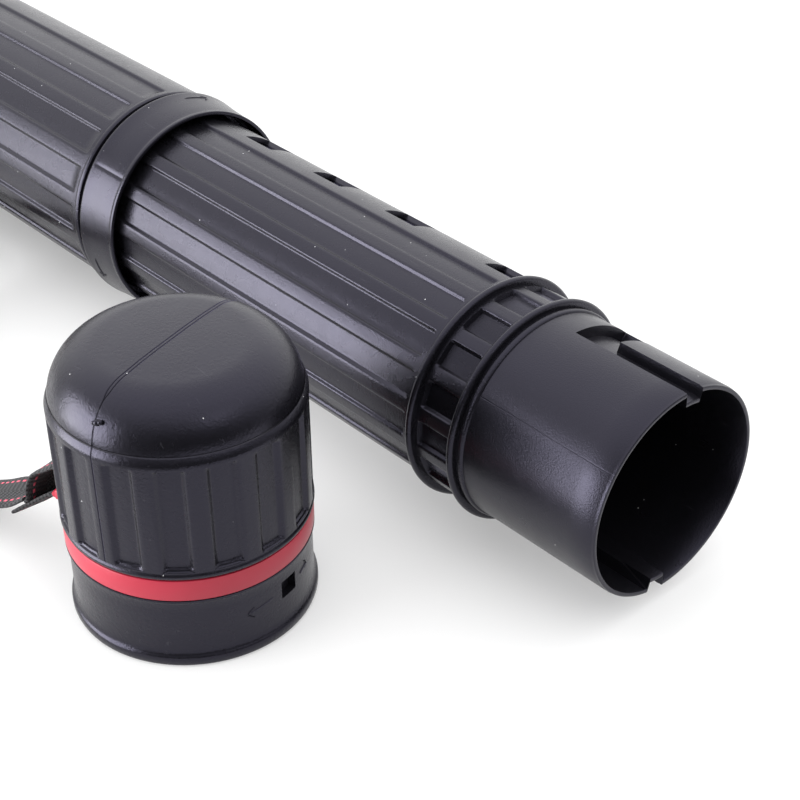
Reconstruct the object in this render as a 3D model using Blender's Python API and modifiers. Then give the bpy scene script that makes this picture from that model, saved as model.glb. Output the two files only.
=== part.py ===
"""Telescopic tube for rolled drawings, lying on a surface with its bayonet cap taken off.

The tube lies along X with its open mouth towards +X. The cap stands on its open rim beside it.
A shoulder strap joins the cap's red ring to the red ring at the tube's closed end.
The origin is the middle of the footprint of the hard parts, on the surface they lie on.
Inside a tube piece, s is the distance along the axis from the front of the lock collar.
Angles round the tube go from +Y towards +Z.
"""

import math

import bmesh
import bpy
from mathutils import Matrix, Vector

# Driving sizes, in metres and degrees.
TURN_STEPS = 48
CLEAR = 0.0003

TUBE_LENGTH = 0.520
TUBE_RADIUS = 0.0475
TUBE_WALL = 0.0018
SLIDE_GAP = 0.0006
EXTENSION = 0.1885
INNER_WALL = 0.0013
INNER_INSERT = 0.322

RIB_COUNT = 16
RIB_DEPTH = 0.0014
PANEL_HALF = 6.4
PANEL_FLARE = 1.35
TUBE_PANEL_AT = 86.6
INNER_PANEL_AT = 89.0
WIDE_LAND = -1
PANEL_END = 0.0009

COLLAR_LENGTH = 0.0224
COLLAR_FRONT_RISE = 0.0005
COLLAR_BACK_RISE = 0.0020
COLLAR_WALL = 0.0018
SPIGOT_START = 0.0160
BEAD_GAP = 0.0030
BEAD_WIDTH = 0.0031
BEAD_RISE = 0.0008
PANEL_START = 0.0021
SNAP = 0.0005

LUG_LENGTH = 0.0060
LUG_CENTRE = 0.0115
LUG_WIDTH = 8.0
LUG_AT = 44.0
SLOT_LENGTH = 0.0170
SLOT_PITCH = 0.0455
SLOT_REST = 0.0160
SLOTS_AHEAD = 3
SLOTS_BEHIND = 5
SLOT_LOW = 49.0
SLOT_HIGH = 72.5
SLOT_DEPTH = 0.0030
LAST_SLOT_BACK = 0.0100
DENT_WALL = 0.0016

FLANGE_WIDTH = 0.0030
FLANGE_REAR_RISE = 0.0031
FLANGE_FRONT_RISE = 0.0028
FLANGE_PITCH = 0.0222
STEP_WIDTH = 0.0030
STEP_HEIGHT = 0.0009
NECK_LENGTH = 0.0705
NECK_STEP = 0.0007

CHANNEL_LOW = 76.0
CHANNEL_HIGH = 87.5
CHANNEL_TURN = 45.0
CHANNEL_DEPTH = 0.0042
CHANNEL_FOOT = 0.0138
CHANNEL_LEG = 0.0135

BASE_LENGTH = 0.0500
BASE_WALL = 0.0025
BASE_ROUND = 0.0080
BASE_DISH = 0.0020
BASE_RING_BACK = 0.0215

CAP_X = 0.15587
CAP_Y = -0.12433
CAP_GAP = 0.0006
CAP_HEIGHT = 0.1105
CAP_WALL = 0.0020
CAP_BODY_WALL = 0.0028
CAP_SKIRT_STEP = 0.0008
CAP_FLANGE_HEIGHT = 0.0045
CAP_PANEL_LOW = 0.0452
CAP_PANEL_HIGH = 0.0866
CAP_PANEL_AT = -18.0
CAP_LEDGE = 0.0904
CAP_SHOULDER = 0.0200
CAP_CROWN = 0.0007
CAP_LUG_LOW = 0.0165
CAP_LUG_HIGH = 0.0239
CAP_LUG_AT = 15.0
CAP_LUG_HALF = 5.0
CAP_LUG_REACH = 0.0032

RING_LOW = 0.0310
RING_WIDTH = 0.0090
RING_THICK = 0.0013
RING_SEAT_DEPTH = 0.0019
BAIL_STAND = 0.0042
BAIL_THICK = 0.0026
BAIL_LENGTH = 0.0276
BAIL_POST = 0.0030
BAIL_HEIGHT = 0.0056
CAP_BAIL_AT = -158.0
BASE_BAIL_AT = 200.0

STRAP_WIDTH = 0.0200
STRAP_THICK = 0.0016
EYE_LENGTH = 0.0200
EYE_JOIN = 0.0165
EYE_HUMP = 0.0100
EYE_DROOP = 38.0
SLIDER_LENGTH = 0.0200
SLIDER_MARGIN = 0.0040
SLIDER_THICK = 0.0030

# Sizes that follow from the driving ones.
TUBE_BORE = TUBE_RADIUS - RIB_DEPTH - TUBE_WALL
INNER_RADIUS = TUBE_BORE - SLIDE_GAP
INNER_BORE = INNER_RADIUS - RIB_DEPTH - INNER_WALL
NECK_RADIUS = INNER_RADIUS - NECK_STEP
FLANGE_REAR_RADIUS = INNER_RADIUS + FLANGE_REAR_RISE
FLANGE_FRONT_RADIUS = INNER_RADIUS + FLANGE_FRONT_RISE
COLLAR_FRONT_RADIUS = TUBE_RADIUS + COLLAR_FRONT_RISE
COLLAR_BACK_RADIUS = TUBE_RADIUS + COLLAR_BACK_RISE
BEAD_RADIUS = TUBE_RADIUS + BEAD_RISE
CAP_BORE = NECK_RADIUS + CAP_GAP
CAP_RADIUS = CAP_BORE + CAP_BODY_WALL
CAP_SKIRT_RADIUS = CAP_RADIUS - CAP_SKIRT_STEP
CAP_FLANGE_RADIUS = CAP_RADIUS
RING_SEAT = CAP_RADIUS - RING_SEAT_DEPTH
REAR_FLANGE = EXTENSION + FLANGE_WIDTH / 2
FRONT_FLANGE = REAR_FLANGE + FLANGE_PITCH
MOUTH = FRONT_FLANGE + NECK_LENGTH
SPIGOT_RADIUS = COLLAR_FRONT_RADIUS - COLLAR_WALL - CLEAR
BEAD_FRONT = COLLAR_LENGTH + BEAD_GAP
BEAD_BACK = BEAD_FRONT + BEAD_WIDTH
RIBS_FRONT = BEAD_BACK + PANEL_START
AXIS_HEIGHT = COLLAR_BACK_RADIUS
SHIFT_X = (TUBE_LENGTH - MOUTH) / 2
SHIFT_Y = -(CAP_Y - CAP_FLANGE_RADIUS + COLLAR_BACK_RADIUS) / 2
PERIOD = 360.0 / RIB_COUNT

for left_over in list(bpy.data.objects):
    bpy.data.objects.remove(left_over, do_unlink=True)

parts = bpy.data.collections.new("drawing_tube")
cutters = bpy.data.collections.new("cutters")
bpy.context.scene.collection.children.link(parts)
bpy.context.scene.collection.children.link(cutters)


def make_material(name, colour, roughness):
    """A plain plastic or woven surface."""
    material = bpy.data.materials.new(name)
    material.use_nodes = True
    shader = material.node_tree.nodes["Principled BSDF"]
    shader.inputs["Base Color"].default_value = (*colour, 1.0)
    shader.inputs["Roughness"].default_value = roughness
    return material


black_plastic = make_material("black_plastic", (0.012, 0.012, 0.014), 0.42)
red_plastic = make_material("red_plastic", (0.52, 0.015, 0.04), 0.35)
webbing = make_material("webbing", (0.010, 0.010, 0.011), 0.85)


def make_empty(name, location, rotation):
    empty = bpy.data.objects.new(name, None)
    empty.location = location
    empty.rotation_euler = rotation
    parts.objects.link(empty)
    return empty


tube_axis = make_empty("tube_axis", (SHIFT_X, SHIFT_Y, AXIS_HEIGHT), (math.pi / 2, 0, math.pi / 2))
cap_axis = make_empty("cap_axis", (CAP_X + SHIFT_X, CAP_Y + SHIFT_Y, 0.0), (0, 0, 0))


def make_object(name, mesh, parent, material):
    made = bpy.data.objects.new(name, mesh)
    made.parent = parent
    mesh.materials.append(material)
    parts.objects.link(made)
    return made


def turned(name, profile, closed, parent, material):
    """A turned piece: a profile of (radius, height) points, down its outer side first."""
    mesh = bpy.data.meshes.new(name)
    shape = bmesh.new()
    points = [shape.verts.new((radius, 0.0, height)) for radius, height in profile]
    for first, second in zip(points, points[1:]):
        shape.edges.new((first, second))
    if closed:
        shape.edges.new((points[-1], points[0]))
    shape.to_mesh(mesh)
    shape.free()
    made = make_object(name, mesh, parent, material)
    screw = made.modifiers.new("turn", "SCREW")
    screw.steps = TURN_STEPS
    screw.render_steps = TURN_STEPS
    screw.use_merge_vertices = True
    screw.merge_threshold = 0.00001
    screw.use_smooth_shade = True
    return made


def bent_block(angles, radii, heights, cuts=1, flare=0.0, slope=0.0):
    """A block bent round the axis. Its outer face is wider by flare (degrees) and slope (metres)."""
    shape = bmesh.new()
    bmesh.ops.create_cube(shape, size=1.0)
    across = [edge for edge in shape.edges if edge.verts[0].co.y * edge.verts[1].co.y < 0]
    bmesh.ops.subdivide_edges(shape, edges=across, cuts=cuts, use_grid_fill=True)
    middle = (angles[0] + angles[1]) / 2
    for vert in shape.verts:
        outer = vert.co.x > 0
        spread = angles[1] - angles[0] + (2 * flare if outer else 0.0)
        angle = math.radians(middle + vert.co.y * spread)
        radius = radii[1] if outer else radii[0]
        extra = slope if outer else 0.0
        height = heights[1] + extra if vert.co.z > 0 else heights[0] - extra
        vert.co = (radius * math.cos(angle), radius * math.sin(angle), height)
    bmesh.ops.recalc_face_normals(shape, faces=shape.faces)
    return shape


def blocks(name, parent, rows):
    """A cutter, or a lump to be joined on, made of separate bent blocks."""
    mesh = bpy.data.meshes.new(name)
    shape = bmesh.new()
    for row in rows:
        single = bent_block(**row)
        piece = bpy.data.meshes.new("piece")
        single.to_mesh(piece)
        single.free()
        shape.from_mesh(piece)
        bpy.data.meshes.remove(piece)
    shape.to_mesh(mesh)
    shape.free()
    made = bpy.data.objects.new(name, mesh)
    made.parent = parent
    made.hide_render = True
    made.display_type = "WIRE"
    cutters.objects.link(made)
    return made


def combine(target, other, operation):
    boolean = target.modifiers.new(other.name, "BOOLEAN")
    boolean.operation = operation
    boolean.object = other
    boolean.solver = "EXACT"


def panel_rows(first, skipped, radius, heights):
    """The sunk panels between the ribs, as blocks to cut away."""
    for step in range(RIB_COUNT):
        if step in skipped:
            continue
        middle = first + step * PERIOD
        yield {
            "angles": (middle - PANEL_HALF, middle + PANEL_HALF),
            "radii": (radius - RIB_DEPTH, radius + RIB_DEPTH),
            "heights": heights,
            "cuts": 1,
            "flare": 2 * PANEL_FLARE,
            "slope": PANEL_END,
        }


def arc(centre, radius, start, end, count):
    """Points of a rounded profile corner."""
    for step in range(count + 1):
        angle = math.radians(start + (end - start) * step / count)
        yield (centre[0] + radius * math.cos(angle), centre[1] + radius * math.sin(angle))


# The outer tube: closed end, ribs, bead, and the spigot that the collar turns on.
ring_seat_back = -TUBE_LENGTH + BASE_RING_BACK
ring_seat_front = ring_seat_back + RING_WIDTH + 2 * CLEAR
base_seat = RING_SEAT + TUBE_RADIUS - CAP_RADIUS
snap_back = -SPIGOT_START - 2 * SNAP
tube_profile = [
    (TUBE_BORE, -SPIGOT_START),
    (SPIGOT_RADIUS, -SPIGOT_START),
    (SPIGOT_RADIUS + SNAP, snap_back),
    (SPIGOT_RADIUS, snap_back - 2 * SNAP),
    (SPIGOT_RADIUS, -BEAD_FRONT),
    (BEAD_RADIUS - BEAD_WIDTH / 4, -BEAD_FRONT),
    (BEAD_RADIUS, -BEAD_FRONT - BEAD_WIDTH / 4),
    (BEAD_RADIUS, -BEAD_BACK + BEAD_WIDTH / 4),
    (TUBE_RADIUS, -BEAD_BACK),
    (TUBE_RADIUS, ring_seat_front),
    (base_seat, ring_seat_front),
    (base_seat, ring_seat_back),
    (TUBE_RADIUS, ring_seat_back),
    *arc((TUBE_RADIUS - BASE_ROUND, -TUBE_LENGTH + BASE_ROUND), BASE_ROUND, 0, -90, 4),
    (TUBE_RADIUS - 2 * BASE_ROUND, -TUBE_LENGTH),
    (TUBE_RADIUS - 2 * BASE_ROUND - BASE_DISH, -TUBE_LENGTH + BASE_DISH),
    (0.0, -TUBE_LENGTH + BASE_DISH),
]
tube_inside = [
    (0.0, -TUBE_LENGTH + BASE_DISH + BASE_WALL),
    (TUBE_BORE - BASE_ROUND, -TUBE_LENGTH + BASE_DISH + BASE_WALL),
    (TUBE_BORE, -TUBE_LENGTH + BASE_DISH + BASE_ROUND),
    (TUBE_BORE, -SPIGOT_START),
]
outer_tube = turned("outer_tube", tube_profile + tube_inside, False, tube_axis, black_plastic)
tube_panels = blocks(
    "tube_panels",
    tube_axis,
    panel_rows(
        TUBE_PANEL_AT,
        (RIB_COUNT + WIDE_LAND,),
        TUBE_RADIUS,
        (-TUBE_LENGTH + BASE_LENGTH, -RIBS_FRONT - PANEL_END),
    ),
)
combine(outer_tube, tube_panels, "DIFFERENCE")

# The lock collar: a ring that turns on the spigot, with one lug inside.
collar_bore = SPIGOT_RADIUS + CLEAR
collar_profile = [
    (COLLAR_FRONT_RADIUS - COLLAR_WALL, 0.0),
    (COLLAR_FRONT_RADIUS - COLLAR_WALL / 3, 0.0),
    (COLLAR_FRONT_RADIUS, -COLLAR_WALL / 3),
    (COLLAR_FRONT_RADIUS, -COLLAR_WALL),
    (COLLAR_FRONT_RADIUS + SNAP, -2 * COLLAR_WALL),
    (COLLAR_BACK_RADIUS - SNAP, -COLLAR_LENGTH + 2 * COLLAR_WALL),
    (COLLAR_BACK_RADIUS, -COLLAR_LENGTH + COLLAR_WALL),
    (COLLAR_BACK_RADIUS, -COLLAR_LENGTH + COLLAR_WALL / 3),
    (COLLAR_BACK_RADIUS - COLLAR_WALL / 3, -COLLAR_LENGTH),
    (collar_bore, -COLLAR_LENGTH),
    (collar_bore, snap_back - 3 * SNAP),
    (collar_bore + SNAP, snap_back - SNAP),
    (collar_bore + SNAP, snap_back + SNAP),
    (collar_bore, snap_back + 3 * SNAP),
    (collar_bore, -COLLAR_WALL),
]
lock_collar = turned("lock_collar", collar_profile, True, tube_axis, black_plastic)
lug_tip = INNER_RADIUS - RIB_DEPTH + CLEAR + CLEAR / 2
collar_lug = blocks(
    "collar_lug",
    tube_axis,
    [
        {
            "angles": (LUG_AT - LUG_WIDTH / 2, LUG_AT + LUG_WIDTH / 2),
            "radii": (lug_tip, collar_bore + COLLAR_WALL / 2),
            "heights": (-LUG_CENTRE - LUG_LENGTH / 2, -LUG_CENTRE + LUG_LENGTH / 2),
            "cuts": 3,
        }
    ],
)
combine(lock_collar, collar_lug, "UNION")

# The inner tube: ribbed slide with lock slots, two stop flanges and a plain neck.
half_flange = FLANGE_WIDTH / 2
step_front = FRONT_FLANGE + half_flange + STEP_WIDTH


def flange(centre, radius, inside):
    """The rounded outline of one stop flange, front side first."""
    return [
        (inside, centre + half_flange),
        (radius - half_flange, centre + half_flange),
        *arc((radius - half_flange, centre), half_flange, 60, -60, 4),
        (radius - half_flange, centre - half_flange),
        (inside, centre - half_flange),
    ]


inner_profile = [
    (INNER_BORE, MOUTH),
    (NECK_RADIUS - INNER_WALL / 2, MOUTH),
    (NECK_RADIUS, MOUTH - INNER_WALL / 2),
    (NECK_RADIUS, step_front + STEP_HEIGHT),
    (NECK_RADIUS + STEP_HEIGHT, step_front),
    *flange(FRONT_FLANGE, FLANGE_FRONT_RADIUS, NECK_RADIUS + STEP_HEIGHT),
    (INNER_RADIUS, FRONT_FLANGE - half_flange),
    *flange(REAR_FLANGE, FLANGE_REAR_RADIUS, INNER_RADIUS),
    (INNER_RADIUS, -INNER_INSERT),
    (INNER_BORE, -INNER_INSERT),
]
inner_tube = turned("inner_tube", inner_profile, True, tube_axis, black_plastic)

slot_centres = [-SLOT_REST + step * SLOT_PITCH for step in range(-SLOTS_BEHIND, SLOTS_AHEAD + 1)]
slot_centres.append(EXTENSION - LAST_SLOT_BACK)
slot_angle_margin = math.degrees(DENT_WALL / INNER_BORE)


def slot_rows(grow, grow_angle, radii):
    """One block for each lock slot, larger by the wall round it where it is the dent's back."""
    for centre in slot_centres:
        yield {
            "angles": (SLOT_LOW - grow_angle, SLOT_HIGH + grow_angle),
            "radii": radii,
            "heights": (centre - SLOT_LENGTH / 2 - grow, centre + SLOT_LENGTH / 2 + grow),
            "cuts": 3,
        }


slot_floor = INNER_RADIUS - SLOT_DEPTH
dent_outside = INNER_BORE + INNER_WALL / 2
slot_backs = blocks(
    "slot_backs",
    tube_axis,
    slot_rows(DENT_WALL, slot_angle_margin, (slot_floor - DENT_WALL, dent_outside)),
)
combine(inner_tube, slot_backs, "UNION")

channel_floor = NECK_RADIUS - CHANNEL_DEPTH
channel_back = step_front + CHANNEL_FOOT - STEP_HEIGHT
for side, opposite in (("near", 0.0), ("far", 180.0)):
    low = CHANNEL_LOW + opposite
    high = CHANNEL_HIGH + opposite
    turn = CHANNEL_TURN + opposite
    overlap = (low + high) / 2
    grow = math.degrees(DENT_WALL / INNER_BORE)
    leg_front = channel_back + CHANNEL_LEG
    entry_dent = {
        "angles": (low - grow, high + grow),
        "radii": (channel_floor - DENT_WALL, dent_outside),
        "heights": (channel_back - DENT_WALL, MOUTH - CLEAR),
        "cuts": 3,
    }
    turn_dent = {
        "angles": (turn - grow, overlap),
        "radii": (channel_floor - DENT_WALL + CLEAR / 3, dent_outside + CLEAR / 3),
        "heights": (channel_back - DENT_WALL + CLEAR, leg_front + DENT_WALL),
        "cuts": 5,
    }
    entry_cut = {
        "angles": (low, high),
        "radii": (channel_floor, NECK_RADIUS + CHANNEL_DEPTH),
        "heights": (channel_back, MOUTH + CHANNEL_DEPTH),
        "cuts": 3,
    }
    turn_cut = {
        "angles": (turn, overlap),
        "radii": (channel_floor + CLEAR / 3, NECK_RADIUS + CHANNEL_DEPTH),
        "heights": (channel_back + CLEAR, leg_front),
        "cuts": 5,
    }
    combine(inner_tube, blocks(f"entry_dent_{side}", tube_axis, [entry_dent]), "UNION")
    combine(inner_tube, blocks(f"turn_dent_{side}", tube_axis, [turn_dent]), "UNION")
    combine(inner_tube, blocks(f"entry_cut_{side}", tube_axis, [entry_cut]), "DIFFERENCE")
    combine(inner_tube, blocks(f"turn_cut_{side}", tube_axis, [turn_cut]), "DIFFERENCE")

inner_ribs = (-INNER_INSERT + BASE_LENGTH / 2, REAR_FLANGE - 2 * FLANGE_WIDTH)
between = (REAR_FLANGE + 1.5 * FLANGE_WIDTH, FRONT_FLANGE - 1.5 * FLANGE_WIDTH)
skipped_land = (RIB_COUNT + WIDE_LAND,)
slide_panels = blocks(
    "slide_panels",
    tube_axis,
    panel_rows(INNER_PANEL_AT, skipped_land, INNER_RADIUS, inner_ribs),
)
flange_panels = blocks(
    "flange_panels",
    tube_axis,
    panel_rows(INNER_PANEL_AT, (), INNER_RADIUS, between),
)
slot_cuts = blocks("slot_cuts", tube_axis, slot_rows(0.0, 0.0, (slot_floor, INNER_RADIUS + RIB_DEPTH)))
combine(inner_tube, slide_panels, "DIFFERENCE")
combine(inner_tube, flange_panels, "DIFFERENCE")
combine(inner_tube, slot_cuts, "DIFFERENCE")

# The cap: domed shell with sunk panels, a ring seat and two lugs pressed in from outside.
ring_high = RING_LOW + RING_WIDTH
skirt_bead = RING_LOW - 2 * CLEAR - SNAP
shoulder_centre = (CAP_SKIRT_RADIUS - CAP_SHOULDER, CAP_HEIGHT - CAP_SHOULDER)
cap_profile = [
    (0.0, CAP_HEIGHT + CAP_CROWN),
    *arc(shoulder_centre, CAP_SHOULDER, 90, 0, 6),
    (CAP_SKIRT_RADIUS, CAP_LEDGE + SNAP),
    (CAP_RADIUS, CAP_LEDGE),
    (CAP_RADIUS, ring_high + CLEAR),
    (RING_SEAT, ring_high + CLEAR),
    (RING_SEAT, RING_LOW - CLEAR),
    (CAP_RADIUS - SNAP / 2, RING_LOW - CLEAR),
    (CAP_RADIUS - SNAP / 2, skirt_bead),
    (CAP_SKIRT_RADIUS - SNAP, skirt_bead - 2 * SNAP),
    (CAP_SKIRT_RADIUS - SNAP, 2 * CAP_FLANGE_HEIGHT),
    (CAP_FLANGE_RADIUS, CAP_FLANGE_HEIGHT),
    (CAP_FLANGE_RADIUS, CAP_FLANGE_HEIGHT / 3),
    (CAP_FLANGE_RADIUS - CAP_FLANGE_HEIGHT / 3, 0.0),
    (CAP_BORE, 0.0),
    (CAP_BORE, CAP_LEDGE - CAP_WALL),
    *arc(shoulder_centre, CAP_SHOULDER - CAP_WALL, 0, 90, 4),
    (0.0, CAP_HEIGHT + CAP_CROWN - CAP_WALL),
]
cap_shell = turned("cap_shell", cap_profile, False, cap_axis, black_plastic)
cap_panels = blocks(
    "cap_panels",
    cap_axis,
    panel_rows(CAP_PANEL_AT, (), CAP_RADIUS, (CAP_PANEL_LOW, CAP_PANEL_HIGH)),
)
combine(cap_shell, cap_panels, "DIFFERENCE")


def cap_lug_rows(grow, radii):
    """The two opposite lugs of the cap, as blocks larger by the wall round them."""
    grow_angle = math.degrees(grow / CAP_BORE)
    for middle in (CAP_LUG_AT, CAP_LUG_AT + 180.0):
        yield {
            "angles": (middle - CAP_LUG_HALF - grow_angle, middle + CAP_LUG_HALF + grow_angle),
            "radii": radii,
            "heights": (CAP_LUG_LOW - grow, CAP_LUG_HIGH + grow),
            "cuts": 3,
        }


lug_end = CAP_BORE - CAP_LUG_REACH
cap_lugs = blocks("cap_lugs", cap_axis, cap_lug_rows(DENT_WALL / 2, (lug_end, CAP_BORE + SNAP)))
cap_dents = blocks("cap_dents", cap_axis, cap_lug_rows(0.0, (lug_end + DENT_WALL, CAP_RADIUS + SNAP)))
combine(cap_shell, cap_lugs, "UNION")
combine(cap_shell, cap_dents, "DIFFERENCE")


def strap_ring(name, parent, low, seat, bail_at):
    """A red ring in its seat, with a bail for the webbing."""
    inside = seat + CLEAR
    outside = seat + CLEAR + RING_THICK
    chamfer = RING_THICK / 4
    profile = [
        (inside, low + RING_WIDTH),
        (outside - chamfer, low + RING_WIDTH),
        (outside, low + RING_WIDTH - chamfer),
        (outside, low + chamfer),
        (outside - chamfer, low),
        (inside, low),
    ]
    ring = turned(name, profile, True, parent, red_plastic)
    mesh = bpy.data.meshes.new(name + "_bail")
    shape = bmesh.new()
    post_inside = BAIL_LENGTH / 2 - BAIL_POST
    root = math.sqrt((inside + RING_THICK / 2) ** 2 - post_inside**2)
    span = outside + BAIL_STAND - root
    boxes = [
        ((root + span / 2, side * (BAIL_LENGTH - BAIL_POST) / 2), (span, BAIL_POST)) for side in (-1, 1)
    ]
    for place, size in boxes:
        verts = bmesh.ops.create_cube(shape, size=1.0)["verts"]
        bmesh.ops.scale(shape, vec=(size[0], size[1], BAIL_HEIGHT), verts=verts)
        bmesh.ops.translate(shape, vec=(place[0], place[1], low + RING_WIDTH / 2), verts=verts)
    bmesh.ops.rotate(
        shape,
        cent=(0, 0, 0),
        matrix=Matrix.Rotation(math.radians(bail_at), 3, "Z"),
        verts=shape.verts,
    )
    shape.to_mesh(mesh)
    shape.free()
    posts = bpy.data.objects.new(name + "_posts", mesh)
    posts.parent = parent
    bar = bpy.data.objects.new(name + "_bar", bar_mesh(name, outside, low, bail_at))
    bar.parent = parent
    for extra in (posts, bar):
        extra.hide_render = True
        extra.display_type = "WIRE"
        cutters.objects.link(extra)
        combine(ring, extra, "UNION")
    return ring


def bar_mesh(name, outside, low, bail_at):
    """The round bar across the end of a bail's posts."""
    mesh = bpy.data.meshes.new(name + "_bar")
    shape = bmesh.new()
    bmesh.ops.create_cone(
        shape,
        cap_ends=True,
        segments=16,
        radius1=BAIL_THICK / 2,
        radius2=BAIL_THICK / 2,
        depth=BAIL_LENGTH - BAIL_POST / 4,
        matrix=Matrix.Rotation(math.pi / 2, 4, "X"),
    )
    bmesh.ops.translate(
        shape, vec=(outside + BAIL_STAND, 0.0, low + RING_WIDTH / 2), verts=shape.verts
    )
    bmesh.ops.rotate(
        shape,
        cent=(0, 0, 0),
        matrix=Matrix.Rotation(math.radians(bail_at), 3, "Z"),
        verts=shape.verts,
    )
    shape.to_mesh(mesh)
    shape.free()
    return mesh


strap_ring("cap_ring", cap_axis, RING_LOW, RING_SEAT, CAP_BAIL_AT)
strap_ring("base_ring", tube_axis, ring_seat_back + CLEAR, base_seat, BASE_BAIL_AT)


def bail_frame(parent, low, seat, bail_at, droop):
    """The middle of a bail's bar, and the directions that the webbing leaves it in and humps to."""
    bpy.context.view_layer.update()
    outward = Vector((math.cos(math.radians(bail_at)), math.sin(math.radians(bail_at)), 0.0))
    reach = seat + CLEAR + RING_THICK + BAIL_STAND
    place = parent.matrix_world @ (outward * reach + Vector((0, 0, low + RING_WIDTH / 2)))
    turn = parent.matrix_world.to_3x3() @ Matrix.Rotation(math.radians(bail_at), 3, "Z")
    turn = turn @ Matrix.Rotation(math.radians(droop), 3, "Y")
    return place, turn @ Vector((1, 0, 0)), turn @ Vector((0, 0, 1))


def flat_piece(name, loops, thick, basis, material):
    """A flat outline with holes, given a thickness, placed by a matrix."""
    outline = bpy.data.curves.new(name, "CURVE")
    outline.dimensions = "2D"
    outline.fill_mode = "BOTH"
    outline.extrude = thick / 2
    for points in loops:
        spline = outline.splines.new("POLY")
        spline.points.add(len(points) - 1)
        for point, (x, y) in zip(spline.points, points):
            point.co = (x, y, 0.0, 1.0)
        spline.use_cyclic_u = True
    holder = bpy.data.objects.new(name + "_outline", outline)
    parts.objects.link(holder)
    bpy.context.view_layer.update()
    mesh = bpy.data.meshes.new_from_object(holder.evaluated_get(bpy.context.evaluated_depsgraph_get()))
    bpy.data.objects.remove(holder, do_unlink=True)
    shape = bmesh.new()
    shape.from_mesh(mesh)
    bmesh.ops.remove_doubles(shape, verts=shape.verts, dist=0.00001)
    bmesh.ops.recalc_face_normals(shape, faces=shape.faces)
    shape.to_mesh(mesh)
    shape.free()
    made = make_object(name, mesh, None, material)
    made.matrix_world = basis
    return made


def eye_loop(grow):
    """One edge of the folded webbing: round the bar, over the hump and down to the tail."""
    bar = BAIL_THICK / 2 + CLEAR
    middle = bar + STRAP_THICK / 2
    points = list(arc((0.0, 0.0), middle + grow, 270, 100, 8))
    for step in range(1, 11):
        t = step / 10
        rise = EYE_HUMP * math.pi * math.cos(math.pi * t) - 1.5 * middle
        slope = math.atan2(rise, EYE_JOIN)
        x = EYE_JOIN * t - grow * math.sin(slope)
        y = middle - 1.5 * middle * t + EYE_HUMP * math.sin(math.pi * t) + grow * math.cos(slope)
        points.append((x, max(y, -bar + (grow > 0) * STRAP_THICK)))
    if grow > 0:
        points += [(eye_tail, -bar + STRAP_THICK), (eye_tail, -bar - STRAP_THICK)]
    return points


def strap_eye(name, place, outward, up):
    """The folded, sewn end of the webbing round a bail's bar."""
    basis = Matrix((outward, up, outward.cross(up))).transposed().to_4x4()
    basis.translation = place
    half = STRAP_THICK / 2
    flat_piece(name, (eye_loop(half), eye_loop(-half)), STRAP_WIDTH, basis, webbing)


eye_tail = BAIL_THICK / 2 + EYE_LENGTH
cap_bail = bail_frame(cap_axis, RING_LOW, RING_SEAT, CAP_BAIL_AT, EYE_DROOP)
base_bail = bail_frame(tube_axis, ring_seat_back + CLEAR, base_seat, BASE_BAIL_AT, 0.0)
strap_eye("strap_eye_cap", *cap_bail)
strap_eye("strap_eye_base", *base_bail)

# The strap's two runs on the surface, as points with the lean of the webbing there:
# 0 lies flat and 90 stands on edge.
CAP_RUN = [
    (0.1880, -0.0970, 0.0080, 0.0),
    (0.1690, -0.1020, 0.0030, 0.0),
    (0.1450, -0.1070, 0.0026, 8.0),
    (0.1200, -0.1100, 0.0066, 35.0),
    (0.0960, -0.1070, 0.0100, 72.0),
    (0.0730, -0.0920, 0.0110, 90.0),
    (0.0510, -0.0600, 0.0120, 90.0),
    (0.0370, -0.0220, 0.0145, 90.0),
    (0.0180, 0.0060, 0.0165, 90.0),
    (-0.0150, 0.0120, 0.0150, 90.0),
    (-0.0550, 0.0080, 0.0120, 90.0),
    (-0.0920, -0.0120, 0.0125, 90.0),
]
BASE_RUN = [
    (-0.1450, -0.0970, 0.0125, 90.0),
    (-0.1800, -0.1110, 0.0122, 90.0),
    (-0.2160, -0.1000, 0.0122, 90.0),
    (-0.2400, -0.0750, 0.0122, 90.0),
    (-0.2680, -0.0620, 0.0122, 90.0),
    (-0.3000, -0.0740, 0.0122, 90.0),
    (-0.3350, -0.0760, 0.0126, 85.0),
    (-0.3620, -0.0550, 0.0140, 75.0),
]
SLIDER_AT = Vector((-0.1200, -0.0600, 0.0142))
SLIDER_ALONG = Vector((-0.4472, -0.8944, 0.0))


def smooth_line(points, count):
    """A smooth line through hand-chosen points, with count steps between each two."""
    ends = [2 * points[0] - points[1], *points, 2 * points[-1] - points[-2]]
    for before, start, end, after in zip(ends, ends[1:], ends[2:], ends[3:]):
        for step in range(count):
            t = step / count
            yield 0.5 * (
                2 * start
                + (end - before) * t
                + (2 * before - 5 * start + 4 * end - after) * t**2
                + (3 * start - 3 * end + after - before) * t**3
            )
    yield points[-1]


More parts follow.
